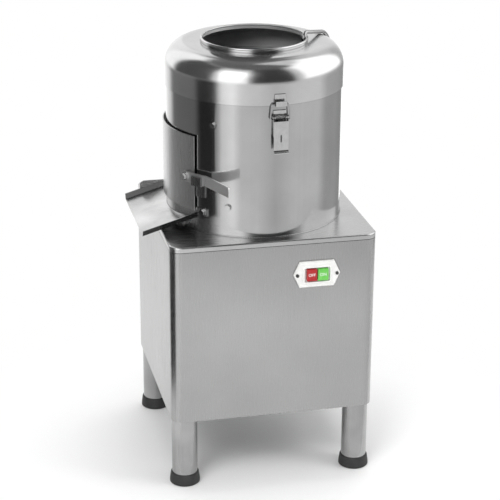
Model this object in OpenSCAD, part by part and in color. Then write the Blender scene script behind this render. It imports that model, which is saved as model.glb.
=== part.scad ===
// Electric potato peeler for catering use
// Millimetres, Z up, standing on the floor at z = 0, front towards -Y.

/* [Cabinet] */
// Width of the cabinet across the front
cab_w = 400; // [380:5:440]
// Depth of the cabinet
cab_d = 400; // [380:5:440]
// Height of the cabinet's top face above the floor
cab_top = 500; // [490:5:540]
// Height of the cabinet's lower edge above the floor
cab_bottom = 140; // [110:5:160]
// Outer radius of the cabinet's upright corners
cab_r = 22; // [18:1:26]
// Thickness of the sheet steel
sheet = 1.5; // [1:0.1:2]
// Outer diameter of the leg tubes
leg_d = 50; // [40:1:52]
// Distance of each leg's axis from the two nearest faces
leg_inset = 28; // [28:1:34]
// Outer diameter of the rubber foot caps at the floor
foot_d = 59; // [56:1:66]
// Height of the rubber foot caps
foot_h = 22; // [16:1:30]

/* [Drum] */
// Outer radius of the peeling drum
drum_r = 170; // [168:1:172]
// Height of the drum above the cabinet
drum_h = 276; // [270:2:300]
// Distance of the drum's axis in front of the cabinet's centre
drum_forward = 8; // [4:1:12]
// Radius of the feed opening in the lid
feed_r = 99; // [90:0.5:101]
// Height of the lid's straight skirt
skirt_h = 38.4; // [36:0.2:42]
// Radius of the lid's shoulder
shoulder_r = 42; // [36:1:46]
// Radius of the rolled bead round the feed opening
bead_r = 2; // [1.8:0.1:3]
// Thickness of the abrasive liner
liner_t = 3.5; // [2.5:0.5:4]

/* [Discharge] */
// Half of the door's width, as an angle round the drum
door_half_angle = 37.8; // [36:0.2:39]
// Height of the door's lower edge above the cabinet
door_low = 42; // [40:1:44]
// Height of the door
door_h = 146; // [140:2:160]
// Distance of the chute's end from the drum's axis
chute_reach = 238; // [225:1:260]
// Half of the chute floor's width
chute_half = 104; // [98:1:106]
// Slope of the chute
chute_slope = 16.5; // [14:0.5:17]
// Length of the strap's grip
grip_l = 80; // [60:1:84]

/* [Drive] */
// Diameter of the main shaft
shaft_d = 25; // [22:1:25]
// Gap between the abrasive disc and the liner
disc_gap = 3.8; // [3:0.1:6]
// Height of the disc's waves
wave_h = 14; // [10:1:18]
// Outer radius of the large pulley
main_pulley_r = 95; // [85:1:96]
// Outer radius of the motor pulley
motor_pulley_r = 28; // [26:1:32]
// Radius of the motor's body over its fins
motor_r = 70; // [62:1:72]

/* [Switch] */
// Length of the switch plate from tip to tip
plate_l = 91; // [88:1:100]
// Height of the switch plate
plate_h = 51.5; // [50:0.5:58]
// Travel of the push buttons
button_travel = 3; // [2:0.5:3.5]

/* [Hidden] */
$fn = 128;

// Colours as photographed
steel = [0.68, 0.68, 0.68];
steel_light = [0.80, 0.80, 0.80];
steel_dark = [0.55, 0.55, 0.55];
rubber_black = [0.12, 0.12, 0.12];
grit = [0.25, 0.25, 0.26];
cast_grey = [0.38, 0.40, 0.42];
plastic_white = [0.92, 0.92, 0.92];

// Cuts run past the faces that they open by this much
overrun = 2;
// Gap left between a seated piece and its seat, and between moving pieces
seat_gap = 0.3;
// Radial clearance of a fixed round fit
fit_gap = 0.02;
// Radial clearance of a turning fit
run_gap = 0.05;

// The drum, its floor and its rim
drum_in = drum_r - sheet;
drum_top = cab_top + drum_h;
floor_t = 3;
floor_top = cab_top + floor_t;
rim_w = 6;
door_mid = -90;
mouth_margin_angle = 5.8;
mouth_half_angle = door_half_angle - mouth_margin_angle;
door_bottom = cab_top + door_low;
door_top = door_bottom + door_h;
mouth_edge = 6;
mouth_low = door_bottom + mouth_edge;
mouth_high = door_top - mouth_edge;

// The liner inside the drum
liner_gap = 0.2;
liner_out = drum_in - liner_gap;
liner_in = liner_out - liner_t;
liner_lift = 21;
liner_margin = 8;
liner_low = floor_top + liner_lift;
liner_high = drum_top - liner_margin;
liner_turn_angle = 1;

// The lid, from the skirt's lower edge up
lid_gap = 1;
lid_in = drum_r + lid_gap;
lid_r = lid_in + sheet;
lid_overlap = 18;
skirt_low = drum_top - lid_overlap;
shoulder_z = skirt_low + skirt_h;
lid_top = shoulder_z + shoulder_r;
bead_at = feed_r + bead_r;
collar_h = 6;
bead_z = lid_top + collar_h;
bead_top = bead_z + bead_r;
gasket_h = 4;
ledge_w = 8;

// The cabinet's top plate and the shell under it
top_t = 2;
top_edge = 3;
top_lip = 10;
lip_gap = 1;
shell_top = cab_top - top_lip - lip_gap;
flange_w = 14;
leg_x = cab_w / 2 - leg_inset;
leg_y = cab_d / 2 - leg_inset;
leg_r = leg_d / 2;
leg_wall = 1.5;
foot_floor = 6;
foot_taper = 2;
foot_wall = 3;
corners = [[-1, -1], [1, -1], [-1, 1], [1, 1]];

// The drain under the drum stands between the left legs and the middle, near the drum's wall
drain_r = 25;
drain_wall = 1.5;
drain_bend = 35;
drain_drop = 45;
drain_share = 0.6463;
drain_rim = 14;
drain_reach = drum_in - drain_r - drain_rim;
drain_x = -(leg_x - leg_r) * drain_share;
drain_y = sqrt(drain_reach * drain_reach - drain_x * drain_x) - drum_forward;
drain_z = cab_top - drain_drop - drain_bend;
spout_out = 18;
spout_collar = 3;
spout_collar_t = 2;

// The rear opening, its cover and its screws
rear_drain_gap = 20;
rear_leg_gap = 7;
rear_from = drain_x + drain_r + rear_drain_gap;
rear_to = leg_x - leg_r - rear_leg_gap;
rear_x = (rear_from + rear_to) / 2;
rear_w = rear_to - rear_from;
rear_rise = 30;
rear_drop = 20;
rear_low = cab_bottom + rear_rise;
rear_high = shell_top - rear_drop;
cover_lap = 14;
cover_screw_r = 2;
cover_head_r = 3.6;
cover_head_h = 2.4;
louvre_l_share = 0.316;
louvre_h = 5;
louvre_pitch = 16;
louvre_rows = 7;

// The shaft, its bearings and their housing
shaft_r = shaft_d / 2;
bearing_t = 15;
bearing_r = 26;
race_t = 4;
ball_count = 9;
seal_t = 7;
housing_r = 40;
housing_flange_r = 62;
housing_flange_t = 8;
neck_r = 36;
neck_h = 17;
housing_drop = 108;
upper_bearing_drop = 20;
neck_top = floor_top + neck_h;
housing_low = cab_top - housing_drop;
upper_bearing_z = cab_top - upper_bearing_drop;
bolt_circle = 52;
housing_bolt_r = 4;
housing_bolt_count = 6;
nut_h = 6.5;
head_h = 5.5;
hex_share = 1.6;
backing = 8;

// The abrasive disc on the shaft
disc_r = liner_in - disc_gap;
disc_lift = 27;
disc_low = floor_top + disc_lift;
disc_t = 10;
disc_top = disc_low + disc_t;
wave_r = 40;
wave_count = 3;
wave_tilt_angle = 3;
neck_gap = 2;
skirt_wall = 4;
skirt_in = neck_r + neck_gap;
skirt_out = skirt_in + skirt_wall;
skirt_drop = 14;
boss_r = 26;
boss_over = 2;
boss_top = disc_top + wave_h + boss_over;
stud_r = 8;
stud_l = 20;
paddle_t = 6;
paddle_count = 4;
paddle_gap = 3;
paddle_inset = 9;
paddle_out = disc_r - paddle_inset;
key_w = 8;
key_h = 7;
key_l = 14;

// The pulleys and the belt
cab_h = cab_top - cab_bottom;
shelf_share = 0.2944;
shelf_z = cab_bottom + cab_h * shelf_share;
pulley_drop = 48;
pulley_low = shelf_z - pulley_drop;
pulley_t = 22;
pulley_z = pulley_low + pulley_t / 2;
hub_over = 4;
belt_proud = 1;
belt_h = 8;
belt_top_w = 13;
belt_low_w = 7.5;
groove_deep = 11.5;
rim_t = 19;
web_t = 8;
pulley_hub_r = 24;
hole_r = 17;
hole_count = 5;
shaft_tip = 8;
shaft_low = pulley_low - shaft_tip;

// The motor, which stands beside the shaft
rail_w = 30;
rail_t = 3;
rail_over = 13;
rail_x = leg_x + rail_over;
motor_rail_gap = 1;
pulley_space = 15.4;
motor_x = rail_x - rail_w - motor_rail_gap - motor_r;
motor_y = sqrt(pow(main_pulley_r + motor_pulley_r + pulley_space, 2) - motor_x * motor_x) - drum_forward;
motor_shaft_r = 9.5;
shelf_t = 4;
shield_t = 18;
motor_low = shelf_z + shelf_t + shield_t;
motor_h_share = 0.4583;
motor_h = cab_h * motor_h_share;
motor_core_share = 0.88;
fin_count = 24;
fin_t = 3;
cover_h = 42;
cover_wall = 1.5;
motor_bolt_circle = 58;
motor_bolt_r = 4;
pilot_r = 30;
shelf_margin = 7;
shelf_front = motor_y - motor_r - shelf_margin;

// The water pipe over the lid, in an upright plane of its own
pipe_r = 3.75;
pipe_wall = 0.9;
pipe_mouth_gap = 1.2;
pipe_from_angle = 17.9;
pipe_x = (feed_r - pipe_r - pipe_mouth_gap) * cos(pipe_from_angle);
pipe_y = -(feed_r - pipe_r - pipe_mouth_gap) * sin(pipe_from_angle);
pipe_turn_angle = 50;
pipe_slope_angle = 11;
pipe_dip = 22;
pipe_small = 11;
pipe_large = 53;
pipe_over = 7.3;
pipe_top = bead_top + pipe_over;
nozzle_r = 6;
nozzle_l = 13;
nozzle_stand = 3.2;
nozzle_drop = 15.5;

// The toggle latches
latch_az = [3.2, 183.2];
latch_pin_x = 5.5;
latch_drop = 39;
latch_pin_z = drum_top - latch_drop;
latch_eye = 1.8;
latch_pin_r = 2;
bail_x = 0.7;
bail_drop = 5.5;
bail_wire = 1.3;
bail_top_half = 16.4;
bail_low_half = 19.5;
lever_w = 28;
lever_t = 1.5;
lever_out = 7.5;
lever_l = 66;
lever_high = 7.4;
flange_low = 37;
lever_slot_w = 3;
lever_slot_l = 14;
ear_half = 9.5;
base_w = 24;
base_t = 1.8;
base_high = 11;
base_low = 37;
strike_w = 21;
strike_t = 1.5;
strike_high = 21;
hook_out = 10.4;
hook_lip = 9.5;

// The discharge door, its hinge, strap and keeper
door_t = 2;
door_seal = 3.7;
door_in = drum_r + seat_gap + door_seal;
door_out = door_in + door_t;
seal_w = 3;
hinge_out = 8.5;
hinge_r = door_out + hinge_out;
hinge_pin_r = 3;
knuckle_r = 5.5;
hinge_turn_angle = 0.3;
hinge_az = door_mid - door_half_angle - hinge_turn_angle;
knuckle_h = 33;
fixed_knuckle_h = 16;
strap_az = -57.5;
strap_rise = 66.5;
strap_z = door_bottom + strap_rise;
strap_h = 20;
strap_t = 3;
strap_gap = 4.5;
strap_in = door_out + strap_gap;
strap_out = strap_in + strap_t;
strap_turn_angle = 15.5;
grip_angle = 26.6;
strap_bolt_r = 4;
keeper_from_angle = -51.6;
keeper_to_angle = -44.6;
keeper_t = 2.5;
keeper_leg = 28;
keeper_lip = 15;
keeper_gap = 1;

// The chute
chute_t = 2;
chute_lean = 5.4;
chute_wall = 9.2;
chute_over = 10.06;
chute_end_z = cab_top + chute_over - (chute_reach - cab_w / 2) * tan(chute_slope);
cheek_h = 33;
cheek_z = cab_top + cheek_h;
cheek_back = 30;
cheek_from = chute_reach - cheek_back;
cheek_toe = 30;
cheek_t = 2;
cheek_r = 10;

// Hex bolts on the drum, as [angle, height above the cabinet]
bolt_high = 214;
bolt_low = 58;
drum_bolt_places = [
    [-39, bolt_high], [-141, bolt_high], [100, bolt_high],
    [-29, bolt_low], [-151, bolt_low], [100, bolt_low]
];
drum_bolt_r = 3;
drum_head_r = 5.8;
drum_head_h = 4;
washer_r = 7;
washer_t = 1;

// The switch on the front
switch_x = 80;
switch_drop = 71;
switch_z = cab_top - switch_drop;
plate_t = 6;
plate_flat_share = 0.735;
plate_step = 2;
recess_w = 50;
recess_h = 29;
recess_r = 3;
recess_rim = 3;
recess_deep = 3;
button_h = 23;
button_off_w = 19.5;
button_on_w = 20;
button_mid_gap = 2;
button_in = 14;
button_out = 9.5;
body_w = 62;
body_h = 46;
body_deep = 46;
switch_screw_x = 38.7;
switch_screw_r = 1.8;
switch_head_r = 3.2;

// The cable gland at the back
gland_x = drain_x;
gland_rise = 60;
gland_z = cab_bottom + gland_rise;
gland_wall = 2.5;
gland_bore = 5;
gland_r = 11;
gland_l = 17;

// The strap's grip ends here, as seen from the drum's axis
bend_az = strap_az + strap_turn_angle;
grip_in = strap_in + strap_t / 20;
grip_out = grip_in + strap_t * cos(grip_angle) + grip_l * sin(grip_angle);
grip_along = grip_l * cos(grip_angle) - strap_t * sin(grip_angle);
grip_end_y = grip_along * sin(bend_az) - grip_out * cos(bend_az);

// The part stands with the middle of its outer box over the origin
reach_left = chute_reach;
reach_right = leg_x + foot_d / 2;
reach_front = drum_forward - grip_end_y;
reach_back = cab_d / 2 + spout_out;
cab_x = (reach_left - reach_right) / 2;
cab_y = (reach_front - reach_back) / 2;

// Frames that pieces are drawn in
module at_cabinet() {
    translate([cab_x, cab_y, 0]) children();
}

module at_drum() {
    translate([cab_x, cab_y - drum_forward, 0]) children();
}

// Turns +X to the direction az round the drum, where 0 is the front and 90 the right side
module facing(az) {
    at_drum() rotate([0, 0, az - 90]) children();
}

module at_motor() {
    translate([cab_x + motor_x, cab_y + motor_y, 0]) children();
}

module at_switch() {
    translate([cab_x + switch_x, cab_y - cab_d / 2, switch_z]) children();
}

// Plain forms that several pieces share
module round_rect(w, d, r) {
    square([w - 2 * r, d], center = true);
    square([w, d - 2 * r], center = true);
    for (sx = [-1, 1], sy = [-1, 1])
        translate([sx * (w / 2 - r), sy * (d / 2 - r)]) circle(r);
}

module ring(r_out, r_in, z_from, z_to) {
    translate([0, 0, z_from]) difference() {
        cylinder(r = r_out, h = z_to - z_from);
        translate([0, 0, -overrun]) cylinder(r = r_in, h = z_to - z_from + 2 * overrun);
    }
}

module rod(r, z_from, z_to) {
    translate([0, 0, z_from]) cylinder(r = r, h = z_to - z_from);
}

// A profile in [radius, height] swept round part of the drum
module sector(from, to) {
    rotate([0, 0, from - 90]) rotate_extrude(angle = to - from) children();
}

module hexagon(r, h) {
    cylinder(r = r, h = h, $fn = 6);
}

// A hex head with a washer, standing on a face at x = 0 and pointing along +X
module hex_bolt(shank_r, shank_l, head_r, head_l) {
    rotate([0, 90, 0]) {
        cylinder(r = washer_r, h = washer_t);
        hexagon(head_r, washer_t + head_l);
        translate([0, 0, -shank_l]) cylinder(r = shank_r, h = shank_l + washer_t);
    }
}

// A slab with rounded corners and a rounded upper edge
module soft_slab(w, d, h, r, edge) {
    linear_extrude(h - edge) round_rect(w, d, r);
    linear_extrude(h) round_rect(w - 2 * edge, d - 2 * edge, r - edge);
    for (side = [-1, 1]) {
        translate([side * (w / 2 - edge), 0, h - edge]) rotate([90, 0, 0])
            cylinder(r = edge, h = d - 2 * r, center = true);
        translate([0, side * (d / 2 - edge), h - edge]) rotate([0, 90, 0])
            cylinder(r = edge, h = w - 2 * r, center = true);
    }
    for (c = corners)
        translate([c[0] * (w / 2 - r), c[1] * (d / 2 - r), h - edge])
            rotate_extrude() intersection() {
                translate([r - edge, 0]) circle(edge);
                square([r, edge]);
            }
}

// Cabinet
module leg_clearance() {
    for (c = corners)
        translate([c[0] * leg_x, c[1] * leg_y, cab_bottom - overrun])
            cylinder(r = leg_r + seat_gap, h = cab_top - cab_bottom);
}

module cover_holes(r, from, to) {
    for (sx = [-1, 1], share = [-1, 0, 1])
        translate([rear_x + sx * (rear_w + cover_lap) / 2,
                   from,
                   (rear_low + rear_high) / 2 + share * (rear_high - rear_low) / 2])
            rotate([-90, 0, 0]) cylinder(r = r, h = to - from);
}

module cabinet_shell() at_cabinet() color(steel) difference() {
    union() {
        translate([0, 0, cab_bottom]) linear_extrude(shell_top - cab_bottom) difference() {
            round_rect(cab_w, cab_d, cab_r);
            round_rect(cab_w - 2 * sheet, cab_d - 2 * sheet, cab_r - sheet);
        }
        for (z = [cab_bottom, shell_top - sheet])
            translate([0, 0, z]) linear_extrude(sheet) difference() {
                round_rect(cab_w - sheet, cab_d - sheet, cab_r - sheet / 2);
                square([cab_w - 2 * flange_w, cab_d - 2 * flange_w], center = true);
            }
    }
    leg_clearance();
    translate([rear_x - rear_w / 2, cab_d / 2 - flange_w, rear_low])
        cube([rear_w, flange_w + overrun, rear_high - rear_low]);
    cover_holes(cover_screw_r + fit_gap, cab_d / 2 - flange_w, cab_d / 2 + overrun);
    translate([drain_x, cab_d / 2 - flange_w, drain_z]) rotate([-90, 0, 0])
        cylinder(r = drain_r + seat_gap, h = flange_w + overrun);
    translate([gland_x, cab_d / 2 - flange_w, gland_z]) rotate([-90, 0, 0])
        cylinder(r = gland_bore + gland_wall + fit_gap, h = flange_w + overrun);
    translate([switch_x, -cab_d / 2, switch_z]) {
        rotate([90, 0, 0]) linear_extrude(2 * flange_w, center = true)
            square([recess_w - recess_r, button_h + 2 * recess_r], center = true);
        for (side = [-1, 1])
            translate([side * switch_screw_x, 0, 0]) rotate([90, 0, 0])
                cylinder(r = switch_screw_r + fit_gap, h = 2 * flange_w, center = true);
    }
}

module top_plate() at_cabinet() color(steel_light) difference() {
    translate([0, 0, cab_top - top_lip]) difference() {
        soft_slab(cab_w, cab_d, top_lip, cab_r, top_edge);
        translate([0, 0, -overrun]) linear_extrude(top_lip - top_t + overrun)
            round_rect(cab_w - 2 * sheet, cab_d - 2 * sheet, cab_r - sheet);
    }
    translate([0, -drum_forward, cab_top - top_lip]) {
        cylinder(r = housing_r + seat_gap, h = top_lip + overrun);
        bolt_ring() cylinder(r = housing_bolt_r + fit_gap, h = top_lip + overrun);
    }
    translate([drain_x, drain_y, cab_top - top_lip])
        cylinder(r = drain_r + seat_gap, h = top_lip + overrun);
}

module rear_cover() at_cabinet() color(steel) difference() {
    translate([rear_x, cab_d / 2, (rear_low + rear_high) / 2]) rotate([-90, 0, 0])
        linear_extrude(sheet)
            round_rect(rear_w + 2 * cover_lap, rear_high - rear_low + 2 * cover_lap, cover_lap / 2);
    cover_holes(cover_screw_r + fit_gap, cab_d / 2 - overrun, cab_d / 2 + overrun);
    for (row = [0 : louvre_rows - 1], side = [-1, 1])
        translate([rear_x + side * rear_w / 4,
                   cab_d / 2,
                   rear_low + (rear_high - rear_low) / 4 + row * louvre_pitch])
            rotate([-90, 0, 0]) linear_extrude(2 * overrun, center = true)
                round_rect(rear_w * louvre_l_share, louvre_h, louvre_h / 2 - fit_gap);
}

module rear_cover_screws() at_cabinet() color(steel_light) {
    cover_holes(cover_screw_r, cab_d / 2 - cover_lap / 2, cab_d / 2 + sheet);
    cover_holes(cover_head_r, cab_d / 2 + sheet, cab_d / 2 + sheet + cover_head_h);
}

module leg(c) at_cabinet() color(steel) translate([c[0] * leg_x, c[1] * leg_y, 0])
    ring(leg_r, leg_r - leg_wall, foot_floor, cab_top - top_t - seat_gap);

module foot(c) at_cabinet() color(rubber_black) translate([c[0] * leg_x, c[1] * leg_y, 0])
    difference() {
        rotate_extrude() polygon([
            [0, 0],
            [foot_d / 2 - foot_taper / 2, 0],
            [foot_d / 2, foot_taper / 2],
            [foot_d / 2, foot_floor],
            [foot_d / 2 - foot_taper, foot_h - foot_taper],
            [foot_d / 2 - foot_taper - foot_taper / 2, foot_h],
            [0, foot_h]
        ]);
        translate([0, 0, foot_floor]) cylinder(r = leg_r + fit_gap, h = foot_h);
    }

module front_left_leg() leg(corners[0]);
module front_right_leg() leg(corners[1]);
module rear_left_leg() leg(corners[2]);
module rear_right_leg() leg(corners[3]);
module front_left_foot() foot(corners[0]);
module front_right_foot() foot(corners[1]);
module rear_left_foot() foot(corners[2]);
module rear_right_foot() foot(corners[3]);

// Angle rails between the legs carry the motor's shelf
module frame_rails() at_cabinet() color(steel_dark)
    for (side = [-1, 1]) mirror([side < 0 ? 1 : 0, 0, 0])
        translate([rail_x, 0, shelf_z]) rotate([90, 0, 0])
            linear_extrude(2 * (leg_y - leg_r - seat_gap), center = true) polygon([
                [0, 0],
                [-rail_w, 0],
                [-rail_w, -rail_t],
                [-rail_t, -rail_t],
                [-rail_t, -rail_w],
                [0, -rail_w]
            ]);

module motor_shelf() at_cabinet() color(steel) difference() {
    translate([-rail_x, shelf_front, shelf_z])
        cube([2 * rail_x, cab_d / 2 - flange_w - shelf_front, shelf_t]);
    leg_clearance();
    translate([motor_x, motor_y, shelf_z - overrun]) {
        cylinder(r = pilot_r + fit_gap, h = shelf_t + 2 * overrun);
        motor_bolt_ring() cylinder(r = motor_bolt_r + fit_gap, h = shelf_t + 2 * overrun);
    }
}

// Motor
module motor_bolt_ring() {
    for (k = [0 : 3])
        rotate([0, 0, 45 + 90 * k]) translate([motor_bolt_circle, 0, 0]) children();
}

module motor_body() at_motor() color(cast_grey) difference() {
    union() {
        rod(motor_r * motor_core_share, motor_low, motor_low + motor_h);
        for (k = [0 : fin_count - 1])
            rotate([0, 0, 360 * k / fin_count])
                translate([0, -fin_t / 2, motor_low + fin_t])
                    cube([motor_r, fin_t, motor_h - 2 * fin_t]);
    }
    rod(motor_shaft_r + run_gap, motor_low - overrun, motor_low + motor_h + overrun);
}

module motor_end_shield() at_motor() color(cast_grey) difference() {
    union() {
        rod(motor_r, shelf_z + shelf_t, motor_low);
        rod(pilot_r, shelf_z, shelf_z + shelf_t);
    }
    rod(motor_shaft_r + run_gap, shelf_z - overrun, motor_low + overrun);
    motor_bolt_ring() rod(motor_bolt_r + fit_gap, shelf_z - overrun, motor_low - fin_t);
}

module motor_fan_cover() at_motor() color(steel_dark)
    translate([0, 0, motor_low + motor_h - fin_t]) difference() {
        cylinder(r = motor_r, h = cover_h);
        translate([0, 0, -overrun])
            cylinder(r = motor_r - cover_wall, h = cover_h - cover_wall + overrun);
        for (k = [0 : fin_count / 2 - 1])
            rotate([0, 0, 720 * k / fin_count])
                translate([motor_shaft_r, -fin_t / 2, cover_h - overrun])
                    cube([motor_r * motor_core_share - 2 * motor_shaft_r, fin_t, 2 * overrun]);
    }

box_w = 50;
box_d = 50;
box_h = 60;
module motor_terminal_box() at_motor() color(cast_grey)
    difference() {
        translate([-motor_r - box_w, -box_d / 2, motor_low + motor_h / 2])
            rounded_block(box_w + motor_r * (1 - motor_core_share), box_d, box_h, top_edge);
        rod(motor_r + fit_gap, motor_low, motor_low + motor_h);
    }

module rounded_block(w, d, h, r) {
    translate([w / 2, d / 2, 0]) linear_extrude(h) round_rect(w, d, r);
}

module motor_bolts() at_motor() color(steel_light) motor_bolt_ring() {
    rod(motor_bolt_r, shelf_z - overrun, motor_low - 2 * fin_t);
    translate([0, 0, shelf_z - head_h]) hexagon(motor_bolt_r * hex_share, head_h);
}

module motor_shaft() at_motor() color(steel_light)
    rod(motor_shaft_r, pulley_low - hub_over, motor_low + motor_h + cover_h / 2);

// A V-groove pulley, from its lower face up, with its bore left to the caller
module pulley(r, hub, thick) {
    difference() {
        union() {
            rotate_extrude() difference() {
                square([r, pulley_t]);
                polygon([
                    [r + overrun, pulley_t / 2 - groove_half(overrun)],
                    [r + overrun, pulley_t / 2 + groove_half(overrun)],
                    [r - groove_deep, pulley_t / 2 + groove_half(-groove_deep)],
                    [r - groove_deep, pulley_t / 2 - groove_half(-groove_deep)]
                ]);
            }
            translate([0, 0, -hub_over]) cylinder(r = hub, h = pulley_t + 2 * hub_over);
        }
        if (thick > 0)
            for (z = [-overrun, (pulley_t + web_t) / 2])
                ring(r - rim_t, hub, z, z + (pulley_t - web_t) / 2 + overrun);
    }
}

// Half the groove's width, at a height over the pulley's rim
function groove_half(over) =
    belt_low_w / 2 + seat_gap
    + (over + belt_h - belt_proud) * (belt_top_w - belt_low_w) / 2 / belt_h;

module motor_pulley() at_motor() color(cast_grey) translate([0, 0, pulley_low])
    difference() {
        pulley(motor_pulley_r, motor_pulley_r - groove_deep, 0);
        translate([0, 0, -hub_over - overrun])
            cylinder(r = motor_shaft_r + fit_gap, h = pulley_t + 2 * hub_over + 2 * overrun);
    }

module main_pulley() at_drum() color(cast_grey) translate([0, 0, pulley_low]) difference() {
    pulley(main_pulley_r, pulley_hub_r, web_t);
    translate([0, 0, -hub_over - overrun])
        cylinder(r = shaft_r + fit_gap, h = pulley_t + 2 * hub_over + 2 * overrun);
    key_slot(-hub_over - overrun, pulley_t + 2 * hub_over + 2 * overrun);
    for (k = [0 : hole_count - 1])
        rotate([0, 0, 360 * (k + 1 / 2) / hole_count])
            translate([(pulley_hub_r + main_pulley_r - rim_t) / 2, 0, 0])
                cylinder(r = hole_r, h = pulley_t);
}

// Room for a key beside the shaft
module key_slot(z, h) {
    translate([0, -key_w / 2 - fit_gap, z])
        cube([shaft_r + key_h / 2 + fit_gap, key_w + 2 * fit_gap, h]);
}

// The belt's section, standing on the pulleys' mid plane
module belt_section() {
    polygon([
        [0, -belt_low_w / 2],
        [belt_h, -belt_top_w / 2],
        [belt_h, belt_top_w / 2],
        [0, belt_low_w / 2]
    ]);
}

belt_dx = motor_x;
belt_dy = motor_y + drum_forward;
belt_c = sqrt(belt_dx * belt_dx + belt_dy * belt_dy);
belt_lean = asin((main_pulley_r - motor_pulley_r) / belt_c);
belt_run = belt_c * cos(belt_lean);
belt_main_r = main_pulley_r + belt_proud - belt_h;
belt_motor_r = motor_pulley_r + belt_proud - belt_h;
// Each straight run reaches into the arcs by this much
belt_lap = 0.05;

module drive_belt() at_drum() color(rubber_black)
    rotate([0, 0, atan2(belt_dy, belt_dx)]) translate([0, 0, pulley_z]) {
        rotate([0, 0, 90 - belt_lean])
            rotate_extrude(angle = 180 + 2 * belt_lean)
                translate([belt_main_r, 0]) belt_section();
        translate([belt_c, 0, 0]) rotate([0, 0, belt_lean - 90])
            rotate_extrude(angle = 180 - 2 * belt_lean)
                translate([belt_motor_r, 0]) belt_section();
        for (side = [-1, 1]) mirror([0, side < 0 ? 1 : 0, 0])
            rotate([0, 0, 90 - belt_lean])
                translate([belt_main_r, belt_lap, 0]) rotate([90, 0, 0])
                    linear_extrude(belt_run + 2 * belt_lap) belt_section();
    }

// Shaft and bearings
module bolt_ring() {
    for (k = [0 : housing_bolt_count - 1])
        rotate([0, 0, 30 + 360 * k / housing_bolt_count])
            translate([bolt_circle, 0, 0]) children();
}

module main_shaft() at_drum() color(steel_light) {
    rod(shaft_r, shaft_low, disc_top + wave_h / 2);
    rod(stud_r, shaft_low, boss_top + stud_l);
    for (z = [pulley_low + hub_over, disc_low + washer_t])
        translate([0, -key_w / 2, z]) cube([shaft_r + key_h / 2, key_w, key_l]);
}

module bearing_housing() at_drum() color(cast_grey) difference() {
    union() {
        rod(housing_r, housing_low, floor_top + housing_flange_t);
        rod(housing_flange_r, floor_top, floor_top + housing_flange_t);
        rod(neck_r, floor_top, neck_top);
    }
    rod(bearing_r - race_t, housing_low - overrun, neck_top + overrun);
    rod(bearing_r + fit_gap, housing_low - overrun, housing_low + bearing_t);
    rod(bearing_r + fit_gap, upper_bearing_z, neck_top + overrun);
    bolt_ring() rod(housing_bolt_r + fit_gap, cab_top, neck_top);
}

race_in = shaft_r + race_t;
race_mid = (shaft_r + bearing_r) / 2;
ball_r = 3.6;

// One deep-groove bearing: two grooved rings and their balls
module bearing(z) translate([0, 0, z]) {
    difference() {
        union() {
            ring(race_in, shaft_r + run_gap, 0, bearing_t);
            ring(bearing_r, bearing_r - race_t, 0, bearing_t);
        }
        rotate_extrude() translate([race_mid, bearing_t / 2]) circle(ball_r + run_gap);
    }
    for (k = [0 : ball_count - 1])
        rotate([0, 0, 360 * k / ball_count])
            translate([race_mid, 0, bearing_t / 2]) sphere(ball_r);
}

module shaft_bearings() at_drum() color(steel_light) {
    bearing(housing_low);
    bearing(upper_bearing_z);
}

module shaft_seal() at_drum() color(rubber_black)
    translate([0, 0, neck_top - seal_t - overrun]) difference() {
        cylinder(r = bearing_r, h = seal_t);
        translate([0, 0, -overrun]) cylinder(r = shaft_r + run_gap, h = seal_t + 2 * overrun);
        translate([0, 0, -overrun]) cylinder(r = bearing_r - race_t, h = seal_t);
    }

module housing_bolts() at_drum() color(steel_light) bolt_ring() {
    rod(housing_bolt_r, cab_top - top_t - nut_h - overrun, floor_top + housing_flange_t);
    translate([0, 0, floor_top + housing_flange_t])
        hexagon(housing_bolt_r * hex_share, head_h);
    translate([0, 0, cab_top - top_t - nut_h]) difference() {
        hexagon(housing_bolt_r * hex_share, nut_h);
        translate([0, 0, -overrun])
            cylinder(r = housing_bolt_r + fit_gap, h = nut_h + 2 * overrun);
    }
}

// Abrasive disc: three waves on top, sweeping paddles below
module abrasive_disc() at_drum() color(grit) difference() {
    union() {
        rod(disc_r, disc_low, disc_top);
        rod(boss_r, disc_low, boss_top);
        intersection() {
            rod(disc_r, disc_low, boss_top + wave_h);
            for (k = [0 : wave_count - 1])
                rotate([0, 0, 360 * (k + 1 / 2) / wave_count])
                    translate([0, 0, disc_top + wave_h - wave_r - disc_r * sin(wave_tilt_angle)])
                        rotate([0, 90 - wave_tilt_angle, 0]) cylinder(r = wave_r, h = 2 * disc_r);
        }
        ring(skirt_out, skirt_in, disc_low - skirt_drop, disc_low);
        for (k = [0 : paddle_count - 1])
            rotate([0, 0, 360 * k / paddle_count])
                translate([0, paddle_t / 2, 0]) rotate([90, 0, 0]) linear_extrude(paddle_t)
                    polygon([
                        [skirt_out - paddle_t / 2, disc_low + overrun],
                        [paddle_out, disc_low + overrun],
                        [paddle_out, floor_top + 2 * paddle_gap],
                        [paddle_out - paddle_gap, floor_top + paddle_gap],
                        [housing_flange_r + paddle_gap, floor_top + paddle_gap],
                        [housing_flange_r + paddle_gap, neck_top - paddle_gap / 2],
                        [skirt_out - paddle_t / 2, neck_top - paddle_gap / 2]
                    ]);
    }
    rod(shaft_r + fit_gap, floor_top, disc_top + wave_h / 2 + seat_gap);
    rod(stud_r + fit_gap, floor_top, boss_top + wave_h + overrun);
    key_slot(floor_top, disc_low + washer_t + key_l + seat_gap - floor_top);
    translate([0, 0, floor_top]) cylinder(r = skirt_in, h = disc_low - floor_top - fit_gap);
}

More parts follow.
